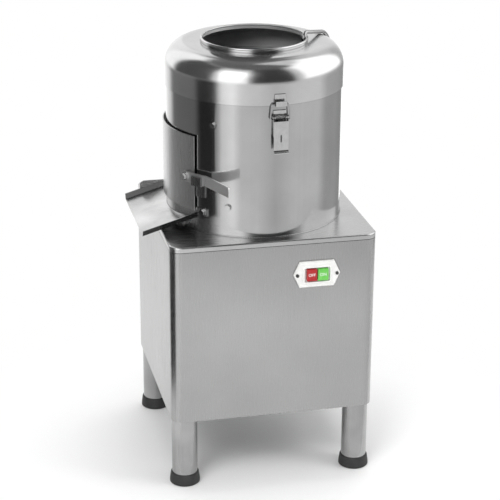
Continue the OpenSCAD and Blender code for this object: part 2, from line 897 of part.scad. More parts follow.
nut_r = 13;
module disc_nut() at_drum() color(steel_light) translate([0, 0, boss_top]) difference() {
    union() {
        cylinder(r = nut_r + overrun, h = washer_t);
        hexagon(nut_r, nut_r);
        intersection() {
            translate([0, 0, nut_r]) sphere(nut_r * cos(30));
            cylinder(r = nut_r, h = 2 * nut_r);
        }
    }
    translate([0, 0, -overrun]) cylinder(r = stud_r + fit_gap, h = stud_l + overrun + seat_gap);
}

// Drum
module mouth_cut(half, low, high) {
    sector(door_mid - half, door_mid + half)
        translate([liner_in - overrun, low])
            square([drum_r - liner_in + 2 * overrun, high - low]);
}

module drum_shell() at_drum() color(steel_light) difference() {
    union() {
        ring(drum_r, drum_in, cab_top, drum_top);
        ring(drum_r - sheet / 2, drum_in - rim_w, drum_top - sheet, drum_top);
    }
    mouth_cut(mouth_half_angle, mouth_low, mouth_high);
    drum_bolt_ring() rotate([0, 90, 0])
        cylinder(r = drum_bolt_r + fit_gap, h = 4 * sheet, center = true);
    ear_bolt_ring() rotate([0, 90, 0])
        cylinder(r = drum_bolt_r + fit_gap, h = 4 * sheet, center = true);
}

module drum_floor() at_drum() color(steel) difference() {
    rod(drum_in - fit_gap, cab_top, floor_top);
    rod(housing_r + seat_gap, cab_top - overrun, floor_top + overrun);
    bolt_ring() rod(housing_bolt_r + fit_gap, cab_top - overrun, floor_top + overrun);
    translate([drain_x, drain_y + drum_forward, 0])
        rod(drain_r + fit_gap, cab_top - overrun, floor_top + overrun);
}

module abrasive_liner() at_drum() color(grit) difference() {
    ring(liner_out, liner_in, liner_low, liner_high);
    mouth_cut(mouth_half_angle + liner_turn_angle, mouth_low - overrun, mouth_high + overrun);
    drum_bolt_ring() rotate([0, 90, 0])
        cylinder(r = drum_bolt_r + fit_gap, h = 4 * liner_t, center = true);
}

// Places of the hex bolts, on the drum's outer face
module drum_bolt_ring() {
    for (place = drum_bolt_places)
        rotate([0, 0, place[0] - 90]) translate([drum_r, 0, cab_top + place[1]]) children();
}

module ear_bolt_ring() {
    for (ear = ears)
        rotate([0, 0, ear[2] - 90]) translate([drum_r, 0, cab_top + ear[3]]) children();
}

module drum_bolts() at_drum() color(steel_light) {
    drum_bolt_ring() hex_bolt(drum_bolt_r, sheet + liner_t, drum_head_r, drum_head_h);
    ear_bolt_ring() translate([chute_t + seat_gap, 0, 0])
        hex_bolt(drum_bolt_r, sheet + chute_t + seat_gap, drum_head_r, drum_head_h);
}

// Lid
module lid_profile(inset) {
    r = lid_r - inset;
    translate([0, skirt_low - overrun]) square([r, skirt_h + overrun]);
    translate([lid_r - shoulder_r, shoulder_z]) intersection() {
        circle(shoulder_r - inset);
        square(shoulder_r);
    }
    translate([0, shoulder_z]) square([lid_r - shoulder_r, shoulder_r - inset]);
}

module lid() at_drum() color(steel_light) {
    rotate_extrude() union() {
        difference() {
            lid_profile(0);
            lid_profile(sheet);
            translate([0, skirt_low - 2 * overrun]) square([lid_r, 2 * overrun]);
            square([bead_at - sheet / 2, bead_top + overrun]);
        }
        translate([bead_at - sheet / 2, lid_top - sheet]) square([sheet, collar_h + sheet]);
        translate([bead_at, bead_z]) circle(bead_r);
        translate([lid_in - ledge_w, gasket_top]) square([ledge_w + sheet / 2, sheet]);
    }
}

gasket_low = drum_top + seat_gap;
gasket_top = gasket_low + gasket_h;
module lid_gasket() at_drum() color(rubber_black)
    ring(lid_in - overrun, lid_in - ledge_w, gasket_low, gasket_top);

// The water pipe's plane: +X runs outward along it
module at_pipe() {
    at_drum() translate([pipe_x, pipe_y, 0]) rotate([0, 0, pipe_turn_angle]) children();
}

// How far the pipe runs outward before its tail stands clear of the drum
pipe_along = pipe_x * cos(pipe_turn_angle) + pipe_y * sin(pipe_turn_angle);
pipe_aside = pipe_y * cos(pipe_turn_angle) - pipe_x * sin(pipe_turn_angle);
pipe_end_r = drum_r + nozzle_r + nozzle_stand;
pipe_out = sqrt(pipe_end_r * pipe_end_r - pipe_aside * pipe_aside) - pipe_along;
// The slope between the two bends, and the heights where they meet it
pipe_knee = pipe_small * (1 + sin(pipe_slope_angle));
pipe_knee_z = pipe_top - pipe_small * (1 - cos(pipe_slope_angle));
pipe_run = (pipe_out - pipe_knee - pipe_large * (1 - sin(pipe_slope_angle))) / cos(pipe_slope_angle);
pipe_small_z = pipe_top - pipe_small;
pipe_large_z = pipe_knee_z - pipe_run * sin(pipe_slope_angle) - pipe_large * cos(pipe_slope_angle);
nozzle_z = skirt_low - nozzle_drop;

// A quarter bend and a straight of tube, joined end to end with others of their kind
module tube_bend(bend, r, wall, from) {
    rotate([0, 0, from]) rotate_extrude(angle = 90) translate([bend, 0]) difference() {
        circle(r);
        circle(r - wall);
    }
}

module tube_run(r, wall, l) {
    linear_extrude(l) difference() {
        circle(r);
        circle(r - wall);
    }
}

// The pipe's way, filled to a radius: its straights are thinner by the fit and lap into the bends
pipe_fit = 0.02;
pipe_lap = 0.25;
module pipe_way(r, over) {
    translate([0, 0, pipe_small_z - pipe_dip - over])
        cylinder(r = r - pipe_fit, h = pipe_dip + over + pipe_lap);
    translate([pipe_small, 0, pipe_small_z]) rotate([90, 0, 0]) rotate([0, 0, 90 - pipe_slope_angle])
        rotate_extrude(angle = 90 + pipe_slope_angle) translate([pipe_small, 0]) circle(r);
    translate([pipe_knee, 0, pipe_knee_z]) rotate([0, 90 + pipe_slope_angle, 0])
        translate([0, 0, -pipe_lap]) cylinder(r = r - pipe_fit, h = pipe_run + 2 * pipe_lap);
    translate([pipe_out - pipe_large, 0, pipe_large_z]) rotate([90, 0, 0])
        rotate_extrude(angle = 90 - pipe_slope_angle) translate([pipe_large, 0]) circle(r);
    translate([pipe_out, 0, nozzle_z - over])
        cylinder(r = r - pipe_fit, h = pipe_large_z - nozzle_z + over + pipe_lap);
}

module water_pipe() at_pipe() color(steel_light) difference() {
    union() {
        pipe_way(pipe_r, 0);
        translate([pipe_out, 0, nozzle_z]) cylinder(r = nozzle_r, h = nozzle_l);
    }
    pipe_way(pipe_r - pipe_wall, overrun);
}

// A saddle on the lid's skirt holds the pipe
clip_h = 8;
clip_w = 18;
clip_t = 1;
module pipe_clip() color(steel_light) {
    tail_x = pipe_x + pipe_out * cos(pipe_turn_angle);
    tail_y = pipe_y + pipe_out * sin(pipe_turn_angle);
    az = atan2(tail_x, -tail_y);
    r = sqrt(tail_x * tail_x + tail_y * tail_y);
    facing(az) translate([0, 0, skirt_low + clip_h / 2]) difference() {
        union() {
            translate([r, 0, 0]) cylinder(r = pipe_r + sheet, h = clip_h);
            translate([lid_r - sheet, -clip_w / 2, 0])
                cube([sheet + clip_t, clip_w, clip_h]);
            translate([lid_r - sheet, -pipe_r - sheet, 0])
                cube([r - lid_r + sheet, 2 * (pipe_r + sheet), clip_h]);
        }
        translate([r, 0, -overrun]) cylinder(r = pipe_r, h = clip_h + 2 * overrun);
        translate([0, 0, -overrun]) cylinder(r = lid_r + fit_gap, h = clip_h + 2 * overrun);
    }
}

// Toggle latches, drawn facing +X with the pin's axis at x = pin_x, z = latch_pin_z
pin_x = drum_r + latch_pin_x;

module latch_strikes() color(steel_light) for (az = latch_az) facing(az)
    rotate([90, 0, 0]) linear_extrude(strike_w, center = true) difference() {
        translate([lid_r + seat_gap / 2, skirt_low])
            square([hook_out, strike_high]);
        translate([lid_r + seat_gap / 2 + strike_t, skirt_low + strike_t])
            square([hook_out - 2 * strike_t, strike_high]);
        translate([lid_r + seat_gap / 2 + strike_t, skirt_low + hook_lip])
            square([hook_out, strike_high]);
    }

module latch_bases() color(steel_light) for (az = latch_az) facing(az)
    difference() {
        union() {
            translate([drum_r + seat_gap / 2, -base_w / 2, latch_pin_z - base_low])
                cube([base_t, base_w, base_low + base_high]);
            for (side = [-1, 1])
                translate([0, side * (ear_half + lever_t / 2), 0]) rotate([90, 0, 0])
                    linear_extrude(lever_t, center = true) {
                        translate([pin_x, latch_pin_z]) circle(2 * latch_pin_r);
                        translate([drum_r + base_t, latch_pin_z - 2 * latch_pin_r])
                            square([latch_pin_x - base_t, 4 * latch_pin_r]);
                    }
        }
        translate([pin_x, 0, latch_pin_z]) rotate([90, 0, 0])
            cylinder(r = latch_pin_r + fit_gap, h = base_w, center = true);
    }

module latch_pins() color(steel_light) for (az = latch_az) facing(az)
    translate([pin_x, 0, latch_pin_z]) rotate([90, 0, 0]) {
        cylinder(r = latch_pin_r, h = lever_w + 2 * seat_gap, center = true);
        for (side = [-1, 1])
            translate([0, 0, side * (lever_w / 2 + seat_gap + lever_t / 2)])
                cylinder(r = latch_pin_r + lever_t / 2, h = lever_t, center = true);
    }

// The lever's side cheek, in its own upright plane with the pin at the origin
module lever_cheek() {
    cheek_reach = lever_out - lever_t;
    circle(latch_pin_r + latch_eye);
    polygon([
        [0, -latch_pin_r],
        [0, latch_pin_r],
        [cheek_reach + lever_t / 2, -lever_high],
        [cheek_reach + lever_t / 2, -flange_low],
        [cheek_reach - 2 * lever_t, -flange_low],
        [-bail_wire, -flange_low / 2],
        [-latch_pin_r - bail_wire / 2, -bail_drop]
    ]);
}

module latch_lever(az) color(steel_light) facing(az) translate([pin_x, 0, latch_pin_z])
    difference() {
        union() {
            for (side = [-1, 1])
                translate([0, side * (lever_w - lever_t) / 2, 0]) rotate([90, 0, 0])
                    linear_extrude(lever_t, center = true) lever_cheek();
            translate([lever_out - lever_t, -lever_w / 2, -lever_l + lever_w / 4])
                cube([lever_t, lever_w, lever_l - lever_high - lever_w / 4]);
            lever_tip();
        }
        rotate([90, 0, 0])
            cylinder(r = latch_pin_r + run_gap, h = lever_w + overrun, center = true);
        translate([bail_x, 0, -bail_drop]) rotate([90, 0, 0])
            cylinder(r = bail_wire + run_gap, h = lever_w + overrun, center = true);
        translate([lever_out - lever_t / 2, 0, -flange_low - lever_slot_w]) rotate([0, 90, 0])
            linear_extrude(2 * lever_t, center = true)
                round_rect(lever_slot_l, lever_slot_w, lever_slot_w / 2 - fit_gap);
    }

// The lever's lower end: rounded, and curled outward for the finger
curl_r = 5;
module lever_tip() {
    z_low = -lever_l + lever_w / 4;
    intersection() {
        translate([lever_out - lever_t, 0, 0]) rotate([90, 0, 90])
            linear_extrude(curl_r + lever_t) union() {
                translate([0, z_low]) square([lever_w, lever_w / 2], center = true);
                translate([-lever_w / 4, z_low - lever_w / 4]) circle(lever_w / 4);
                translate([lever_w / 4, z_low - lever_w / 4]) circle(lever_w / 4);
                translate([0, z_low - lever_w / 4]) square([lever_w / 2, lever_w / 2], center = true);
            }
        rotate([90, 0, 0]) linear_extrude(lever_w, center = true) union() {
            translate([lever_out - lever_t, z_low - curl_r / 2]) square([lever_t, lever_w]);
            intersection() {
                translate([lever_out + curl_r, z_low - curl_r / 2]) difference() {
                    circle(curl_r + lever_t);
                    circle(curl_r);
                }
                translate([lever_out - lever_t, z_low - 2 * curl_r])
                    square([curl_r + lever_t, 3 * curl_r / 2]);
            }
        }
    }
}

module latch_lever_front() latch_lever(latch_az[0]);
module latch_lever_rear() latch_lever(latch_az[1]);

// The wire bail: a cross bar in the strike's hook, two legs, two ends turned into the lever
hook_z = skirt_low + strike_t + seat_gap + bail_wire;
bail_bend = 2.8;
// The straight wires are this much thinner than the bends, and reach into them by this much
wire_fit = 0.02;
wire_lap = 0.25;
module wire_run(l) {
    translate([0, 0, -wire_lap]) cylinder(r = bail_wire - wire_fit, h = l + 2 * wire_lap);
}

module latch_bail(az) color(steel_light) facing(az)
    translate([pin_x + bail_x, 0, latch_pin_z - bail_drop]) rotate([90, 0, 90]) {
        rise = hook_z - latch_pin_z + bail_drop;
        lean = atan2(bail_low_half - bail_top_half, rise);
        slant = sqrt(pow(bail_low_half - bail_top_half, 2) + rise * rise);
        cut_top = bail_bend * tan(45 - lean / 2);
        cut_low = bail_bend * tan(45 + lean / 2);
        translate([cut_top - bail_top_half, rise, 0]) rotate([0, 90, 0])
            wire_run(2 * (bail_top_half - cut_top));
        for (side = [0, 1]) mirror([side, 0, 0]) {
            translate([bail_top_half - cut_top, rise - bail_bend, 0]) rotate([0, 0, lean]) {
                rotate_extrude(angle = 90 - lean) translate([bail_bend, 0]) circle(bail_wire);
                translate([bail_bend, 0, 0]) rotate([90, 0, 0])
                    wire_run(slant - cut_top - cut_low);
            }
            translate([bail_low_half - cut_low, bail_bend, 0]) rotate([0, 0, -90])
                rotate_extrude(angle = 90 + lean) translate([bail_bend, 0]) circle(bail_wire);
            translate([lever_w / 2 - lever_t, 0, 0]) rotate([0, 90, 0])
                wire_run(bail_low_half - cut_low - lever_w / 2 + lever_t);
        }
    }

module latch_bail_front() latch_bail(latch_az[0]);
module latch_bail_rear() latch_bail(latch_az[1]);

// Discharge door
module hinge_knuckle(bore, z, h) {
    rotate([0, 0, hinge_az - 90]) translate([hinge_r, 0, z]) difference() {
        cylinder(r = knuckle_r, h = h);
        translate([0, 0, -overrun]) cylinder(r = bore, h = h + 2 * overrun);
    }
}

// Leaf between a knuckle and a curved plate, tangent to the knuckle
module hinge_leaf(r_to, way, z, h) {
    rotate([0, 0, hinge_az - 90]) translate([r_to, way > 0 ? 0 : -leaf_t, z])
        cube([hinge_r - r_to - hinge_pin_r - sheet / 2, leaf_t, h]);
}

leaf_t = 2.5;
knuckle_rise = 18;
knuckle_zs = [door_bottom + knuckle_rise, door_top - knuckle_h];

module discharge_door() at_drum() color(steel) difference() {
    union() {
        sector(door_mid - door_half_angle, door_mid + door_half_angle)
            translate([door_in, door_bottom]) square([door_t, door_h]);
        for (z = knuckle_zs) {
            hinge_knuckle(hinge_pin_r + run_gap, z, knuckle_h);
            hinge_leaf(door_in + door_t / 2, 1, z, knuckle_h);
        }
    }
    rotate([0, 0, strap_az - 90]) translate([door_in, 0, strap_z]) rotate([0, 90, 0])
        cylinder(r = strap_bolt_r + fit_gap, h = 4 * door_t, center = true);
}

module door_gasket() at_drum() color(rubber_black) difference() {
    sector(door_mid - mouth_half_angle - seal_w, door_mid + mouth_half_angle + seal_w)
        translate([drum_r + seat_gap, mouth_low - mouth_edge / 2])
            square([door_seal, mouth_high - mouth_low + mouth_edge]);
    sector(door_mid - mouth_half_angle, door_mid + mouth_half_angle)
        translate([drum_r, mouth_low]) square([2 * door_seal, mouth_high - mouth_low]);
    rotate([0, 0, strap_az - 90]) translate([drum_r + door_seal, 0, strap_z]) rotate([0, 90, 0])
        cylinder(r = 2 * strap_bolt_r, h = 2 * door_seal, center = true);
}

fixed_zs = [knuckle_zs[0] - fixed_knuckle_h - seat_gap, door_top + seat_gap];
bracket_angle = 7;
module door_hinge_brackets() at_drum() color(steel_light)
    for (z = fixed_zs) {
        hinge_knuckle(hinge_pin_r + fit_gap, z, fixed_knuckle_h);
        hinge_leaf(drum_r + seat_gap / 2, -1, z, fixed_knuckle_h);
        sector(hinge_az - bracket_angle, hinge_az)
            translate([drum_r + seat_gap / 2, z]) square([door_t, fixed_knuckle_h]);
    }

pin_head = 2;
module door_hinge_pin() at_drum() color(steel_light)
    rotate([0, 0, hinge_az - 90]) translate([hinge_r, 0, 0]) {
        rod(hinge_pin_r, fixed_zs[0] - pin_head, fixed_zs[1] + fixed_knuckle_h);
        rod(knuckle_r, fixed_zs[1] + fixed_knuckle_h, fixed_zs[1] + fixed_knuckle_h + pin_head);
    }

// The strap: a flat bar that follows the drum, then turns out into a grip
module door_strap() at_drum() color(steel_light) difference() {
    union() {
        sector(strap_az, bend_az)
            translate([strap_in, strap_z - strap_h / 2]) square([strap_t, strap_h]);
        rotate([0, 0, bend_az - 90]) translate([grip_in, 0, strap_z])
            rotate([0, 0, -grip_angle]) grip_plate();
        rotate([0, 0, strap_az - 90]) translate([strap_in + fit_gap, 0, strap_z]) rotate([0, 90, 0])
            cylinder(r = strap_h / 2, h = strap_t - 2 * fit_gap);
    }
    rotate([0, 0, strap_az - 90]) translate([strap_in, 0, strap_z]) rotate([0, 90, 0])
        cylinder(r = strap_bolt_r + run_gap, h = 4 * strap_t, center = true);
}

grip_round = 6;
module grip_plate() {
    translate([strap_t, 0, 0]) rotate([0, -90, 0]) linear_extrude(strap_t) {
        translate([-strap_h / 2, 0]) square([strap_h, grip_l - grip_round]);
        translate([-strap_h / 2, 0]) square([strap_h - grip_round, grip_l]);
        translate([strap_h / 2 - grip_round, grip_l - grip_round]) circle(grip_round);
    }
}

module strap_bolt() at_drum() color(steel_light)
    rotate([0, 0, strap_az - 90]) translate([0, 0, strap_z]) rotate([0, 90, 0]) {
        rod(strap_bolt_r, door_in - 2 * door_t, strap_out + seat_gap + head_h);
        rod(2 * strap_bolt_r, door_out, strap_in - seat_gap);
        rod(2 * strap_bolt_r, strap_out + seat_gap, strap_out + seat_gap + washer_t);
        translate([0, 0, strap_out + seat_gap]) hexagon(strap_bolt_r * hex_share, head_h + washer_t);
    }

module strap_keeper() at_drum() color(steel) sector(keeper_from_angle, keeper_to_angle)
    translate([0, strap_z - strap_h / 2 - seat_gap]) {
        lip_x = strap_out + keeper_gap;
        translate([drum_r + seat_gap / 2, -keeper_leg]) square([keeper_t, keeper_leg]);
        translate([drum_r + seat_gap / 2, -keeper_t])
            square([lip_x + keeper_t - drum_r - seat_gap / 2, keeper_t]);
        translate([lip_x, -keeper_t]) square([keeper_t, keeper_t + keeper_lip]);
    }

// Chute: a folded tray that starts at the drum and slopes down to the left
chute_len = 2 * chute_reach;
// Ears that bolt the chute to the drum, where its walls meet it,
// as [from angle, to angle, bolt's angle, bolt's height above the cabinet]
ear_r = drum_r + seat_gap;
ear_lap_angle = 0.4;
ear_wide_angle = 9;
ear_bolt_angle = 5.5;
ear_rise = 11.6;
ear_low = 19;
cheek_y = chute_half + chute_lean + chute_t / 2;
near_ear = door_mid + asin(chute_half / ear_r) + ear_lap_angle;
far_ear = door_mid - asin(cheek_y / ear_r) + ear_lap_angle;
near_wall_x = sqrt(ear_r * ear_r - chute_half * chute_half);
near_wall_z = chute_end_z + (chute_reach - near_wall_x) * tan(chute_slope);
ear_high = near_wall_z + ear_rise - cab_top;
ears = [
    [near_ear, near_ear + ear_wide_angle, near_ear + ear_bolt_angle, ear_high],
    [far_ear - ear_wide_angle, far_ear, far_ear - ear_bolt_angle, ear_low]
];
module chute_section() {
    polygon([
        [-chute_half - chute_lean, chute_wall],
        [-chute_half - chute_lean - chute_t, chute_wall],
        [-chute_half - chute_t, -chute_t],
        [chute_half + chute_t, -chute_t],
        [chute_half + chute_lean + chute_t, chute_wall],
        [chute_half + chute_lean, chute_wall],
        [chute_half, 0],
        [-chute_half, 0]
    ]);
}

module chute() at_drum() color(steel_light) difference() {
    union() {
        intersection() {
            translate([-chute_reach, 0, chute_end_z]) rotate([0, -chute_slope, 0])
                translate([-chute_wall, 0, 0]) rotate([90, 0, 90])
                    linear_extrude(chute_reach) chute_section();
            translate([-chute_reach, -chute_reach, cab_top - chute_reach])
                cube([chute_reach, 2 * chute_reach, 2 * chute_reach]);
        }
        far_cheek();
        for (ear = ears)
            sector(ear[0], ear[1])
                translate([drum_r + seat_gap, cab_top + ear[3] - washer_r])
                    square([chute_t, 2 * washer_r]);
    }
    rod(drum_r + seat_gap, cab_top - chute_reach, cab_top + chute_reach);
    ear_bolt_ring() rotate([0, 90, 0])
        cylinder(r = drum_bolt_r + fit_gap, h = 4 * chute_t, center = true);
}

// An upright cheek beside the chute's far wall, with a rounded outer corner
module far_cheek() {
    foot_z = cab_top + seat_gap;
    translate([0, cheek_y + cheek_t, 0]) rotate([90, 0, 0]) linear_extrude(cheek_t) {
        polygon([
            [-cheek_from, cheek_z - cheek_r],
            [-cheek_from + cheek_r, cheek_z],
            [-drum_r / 2, cheek_z],
            [-drum_r / 2, foot_z],
            [-cheek_from + cheek_toe, foot_z],
            [-cheek_from, cheek_z - 2 * cheek_r]
        ]);
        translate([-cheek_from + cheek_r, cheek_z - cheek_r]) circle(cheek_r);
    }
}

// Drain: down from the drum's floor, then out at the back
spout_l = cab_d / 2 + spout_out - drain_y - drain_bend;
collar_at = cab_d / 2 + seat_gap - drain_y - drain_bend;
module drain_pipe() translate([cab_x + drain_x, cab_y + drain_y, 0]) color(steel) {
    translate([0, 0, cab_top - drain_drop])
        tube_run(drain_r, drain_wall, drain_drop + floor_t);
    translate([0, drain_bend, cab_top - drain_drop]) rotate([0, 90, 0])
        tube_bend(drain_bend, drain_r, drain_wall, -90);
    translate([0, drain_bend, drain_z]) rotate([-90, 0, 0]) rotate_extrude() polygon([
        [drain_r - drain_wall, 0],
        [drain_r, 0],
        [drain_r, collar_at],
        [drain_r + spout_collar, collar_at],
        [drain_r + spout_collar, collar_at + spout_collar_t],
        [drain_r, collar_at + spout_collar_t],
        [drain_r, spout_l],
        [drain_r - drain_wall, spout_l]
    ]);
}

// Switch
function hex_plate(inset) =
    let (half = plate_l / 2 - inset)
    let (flat = plate_l * plate_flat_share / 2 - inset / 2)
    let (high = plate_h / 2 - inset)
    [[-half, 0], [-flat, high], [flat, high], [half, 0], [flat, -high], [-flat, -high]];

button_ws = [button_off_w, button_on_w];
button_xs = [
    -(button_mid_gap + button_off_w) / 2,
    (button_mid_gap + button_on_w) / 2
];

module switch_plate() at_switch() color(plastic_white) rotate([90, 0, 0]) difference() {
    union() {
        linear_extrude(plate_t - plate_step) polygon(hex_plate(0));
        linear_extrude(plate_t) polygon(hex_plate(plate_step));
        linear_extrude(plate_t + plate_step)
            round_rect(recess_w + 2 * recess_rim, recess_h + 2 * recess_rim, recess_r + recess_rim);
    }
    translate([0, 0, plate_t - recess_deep]) linear_extrude(plate_t)
        round_rect(recess_w, recess_h, recess_r);
    for (k = [0, 1])
        translate([button_xs[k], 0, 0])
            cube([button_ws[k] + 2 * seat_gap, button_h + 2 * seat_gap, 4 * plate_t], center = true);
    for (side = [-1, 1])
        translate([side * switch_screw_x, 0, -overrun])
            cylinder(r = switch_screw_r + fit_gap, h = plate_t + 2 * overrun);
}

module button(k) at_switch() rotate([90, 0, 0])
    translate([button_xs[k], 0, -button_in]) linear_extrude(button_in + button_out)
        round_rect(button_ws[k], button_h, button_mid_gap / 2);

module off_button() color([0.70, 0.08, 0.08]) button(0);
module on_button() color([0.42, 0.76, 0.29]) button(1);

module switch_body() at_switch() color(rubber_black) rotate([90, 0, 0]) difference() {
    translate([-body_w / 2, -body_h / 2, -sheet - body_deep]) cube([body_w, body_h, body_deep]);
    for (k = [0, 1])
        translate([button_xs[k], 0, -button_in - 2 * button_travel]) linear_extrude(body_deep)
            square([button_ws[k] + 2 * seat_gap, button_h + 2 * seat_gap], center = true);
}

module switch_screws() at_switch() color(steel_light) rotate([90, 0, 0])
    for (side = [-1, 1]) translate([side * switch_screw_x, 0, 0]) {
        rod(switch_screw_r, -sheet - plate_t, plate_t);
        rod(switch_head_r, plate_t, plate_t + plate_step);
    }

// Cable gland
module cable_gland() translate([cab_x + gland_x, cab_y + cab_d / 2, gland_z]) color(rubber_black)
    rotate([-90, 0, 0]) difference() {
        union() {
            cylinder(r = gland_bore + gland_wall, h = gland_l - gland_wall);
            translate([0, 0, -sheet - 2 * gland_wall])
                cylinder(r = gland_bore + gland_wall, h = 4 * gland_wall);
            hexagon(gland_r, gland_l / 3);
            translate([0, 0, gland_l / 3])
                cylinder(r1 = gland_r * cos(30), r2 = gland_bore + gland_wall, h = 2 * gland_l / 3);
            translate([0, 0, -sheet - 2 * gland_wall]) hexagon(gland_r, 2 * gland_wall);
        }
        translate([0, 0, -gland_l]) cylinder(r = gland_bore, h = 3 * gland_l);
    }

cabinet_shell();
top_plate();
rear_cover();
rear_cover_screws();
front_left_leg();
front_right_leg();
rear_left_leg();
rear_right_leg();
front_left_foot();
front_right_foot();
rear_left_foot();
rear_right_foot();
frame_rails();
motor_shelf();
motor_body();
motor_end_shield();
motor_fan_cover();
motor_terminal_box();
motor_bolts();
motor_shaft();
motor_pulley();
drive_belt();
main_pulley();
main_shaft();
bearing_housing();
shaft_bearings();
shaft_seal();
housing_bolts();
abrasive_disc();
disc_nut();
drum_shell();
drum_floor();
abrasive_liner();
drum_bolts();
lid();
lid_gasket();
water_pipe();
pipe_clip();
latch_strikes();
latch_bases();
latch_pins();
latch_lever_front();
latch_lever_rear();
latch_bail_front();
latch_bail_rear();
discharge_door();
door_gasket();
door_hinge_brackets();
door_hinge_pin();
door_strap();
strap_bolt();
strap_keeper();
chute();
drain_pipe();
switch_plate();
switch_body();
off_button();
on_button();
switch_screws();
cable_gland();
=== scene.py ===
import math

import bmesh
import bpy
from mathutils import Matrix, Vector


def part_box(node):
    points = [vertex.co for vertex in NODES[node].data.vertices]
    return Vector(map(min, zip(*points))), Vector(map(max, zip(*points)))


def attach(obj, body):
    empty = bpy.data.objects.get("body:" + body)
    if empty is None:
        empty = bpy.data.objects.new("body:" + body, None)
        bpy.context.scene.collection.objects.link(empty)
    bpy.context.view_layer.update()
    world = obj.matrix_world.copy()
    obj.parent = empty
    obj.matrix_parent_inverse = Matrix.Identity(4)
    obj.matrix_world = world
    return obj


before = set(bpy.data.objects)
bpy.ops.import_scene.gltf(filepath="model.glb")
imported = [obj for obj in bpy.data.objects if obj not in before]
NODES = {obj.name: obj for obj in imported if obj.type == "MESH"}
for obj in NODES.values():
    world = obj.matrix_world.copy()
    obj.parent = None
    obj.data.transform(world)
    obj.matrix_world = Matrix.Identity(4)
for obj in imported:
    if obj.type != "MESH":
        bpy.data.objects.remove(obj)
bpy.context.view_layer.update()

# All lengths are in metres; sizes and places are read from the nodes that carry each detail.
MM = 0.001


def centre(node):
    """The middle of a CAD node's box."""
    lo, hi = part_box(node)
    return [(a + b) / 2 for a, b in zip(lo, hi)]


DRUM_X, DRUM_Y, _ = centre("drum_shell")
DRUM_R = (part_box("drum_shell")[1][0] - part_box("drum_shell")[0][0]) / 2
TOP_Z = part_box("top_plate")[1][2]
CAB_X, CAB_Y, _ = centre("cabinet_shell")
CAB_LEFT, FRONT_Y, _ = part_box("cabinet_shell")[0]
CAB_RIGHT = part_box("cabinet_shell")[1][0]


# Materials
def srgb(code):
    """A colour as it was read from the photograph, turned into linear light."""
    parts = [int(code[i : i + 2], 16) / 255 for i in (1, 3, 5)]
    line = [c / 12.92 if c <= 0.04045 else ((c + 0.055) / 1.055) ** 2.4 for c in parts]
    return (*line, 1.0)


def add(tree, kind, settings=None, **inputs):
    """Adds a node, sets its properties, and sets or links its inputs by name."""
    n = tree.nodes.new("ShaderNode" + kind)
    for key, value in (settings or {}).items():
        setattr(n, key, value)
    for key, value in inputs.items():
        name = key.replace("_", " ")
        socket = n.inputs[int(name[1:])] if name[1:].isdigit() else n.inputs[name]
        if isinstance(value, bpy.types.NodeSocket):
            tree.links.new(value, socket)
        else:
            socket.default_value = value
    return n


def begin(name):
    """A new material with its tree, its shader and the object's own coordinates."""
    mat = bpy.data.materials.new(name)
    mat.use_nodes = True
    tree = mat.node_tree
    shader = tree.nodes["Principled BSDF"]
    place = add(tree, "TexCoord").outputs["Object"]
    return mat, tree, shader, place


def noise(tree, place, size_mm, stretch=(1, 1, 1), detail=2.0, rough=0.5):
    """Noise whose grain measures size_mm, made longer along an axis by its stretch."""
    scale = [1000 / size_mm / s for s in stretch]
    at = add(tree, "Mapping", Vector=place, Scale=scale).outputs["Vector"]
    return add(tree, "TexNoise", Vector=at, Scale=1.0, Detail=detail, Roughness=rough).outputs["Fac"]


def spread(tree, value, low, high, from_low=0.3, from_high=0.7):
    """Stretches a value from one range to another, and stops at its ends."""
    return add(tree, "MapRange", Value=value, From_Min=from_low, From_Max=from_high,
               To_Min=low, To_Max=high).outputs["Result"]


def blend_colour(tree, fac, dark, light):
    """A colour between dark at 0 and light at 1."""
    mix = add(tree, "Mix", {"data_type": "RGBA"})
    tree.links.new(fac, mix.inputs["Factor"])
    for socket, value in ((mix.inputs[6], dark), (mix.inputs[7], light)):
        if isinstance(value, bpy.types.NodeSocket):
            tree.links.new(value, socket)
        else:
            socket.default_value = value
    return mix.outputs[2]


def bump(tree, height, depth_mm, strength):
    """A normal tilted by the height's slope."""
    return add(tree, "Bump", Height=height, Distance=depth_mm * MM, Strength=strength).outputs["Normal"]


def painted_corner_shade(tree, shade_reach_mm, least=0.25):
    """Painted shade: falls from 1 to its least in corners and round what lies on a surface."""
    near = add(tree, "AmbientOcclusion", {"samples": 8}, Distance=shade_reach_mm * MM).outputs["AO"]
    return spread(tree, near, least, 1.0, 0.15, 0.85)


def times(tree, colour, fac):
    """The colour, darkened by a factor."""
    mix = add(tree, "Mix", {"data_type": "RGBA", "blend_type": "MULTIPLY"}, Factor=1.0)
    tree.links.new(colour, mix.inputs[6])
    tree.links.new(fac, mix.inputs[7])
    return mix.outputs[2]


def inward(tree, lift=0.9, soft_edge=0.08):
    """1 where a face looks towards the drum's axis or down, so on the inside of drum and lid."""
    where = add(tree, "NewGeometry")
    away = add(tree, "VectorMath", {"operation": "SUBTRACT"}, _0=where.outputs["Position"],
               _1=(DRUM_X, DRUM_Y, 0)).outputs[0]
    flat = add(tree, "VectorMath", {"operation": "MULTIPLY"}, _0=away, _1=(1, 1, 0)).outputs[0]
    out = add(tree, "VectorMath", {"operation": "NORMALIZE"}, _0=flat).outputs[0]
    out = add(tree, "VectorMath", {"operation": "ADD"}, _0=out, _1=(0, 0, lift)).outputs[0]
    facing = add(tree, "VectorMath", {"operation": "DOT_PRODUCT"}, _0=out,
                 _1=where.outputs["True Normal"]).outputs["Value"]
    return spread(tree, facing, 1.0, 0.0, -soft_edge, soft_edge)


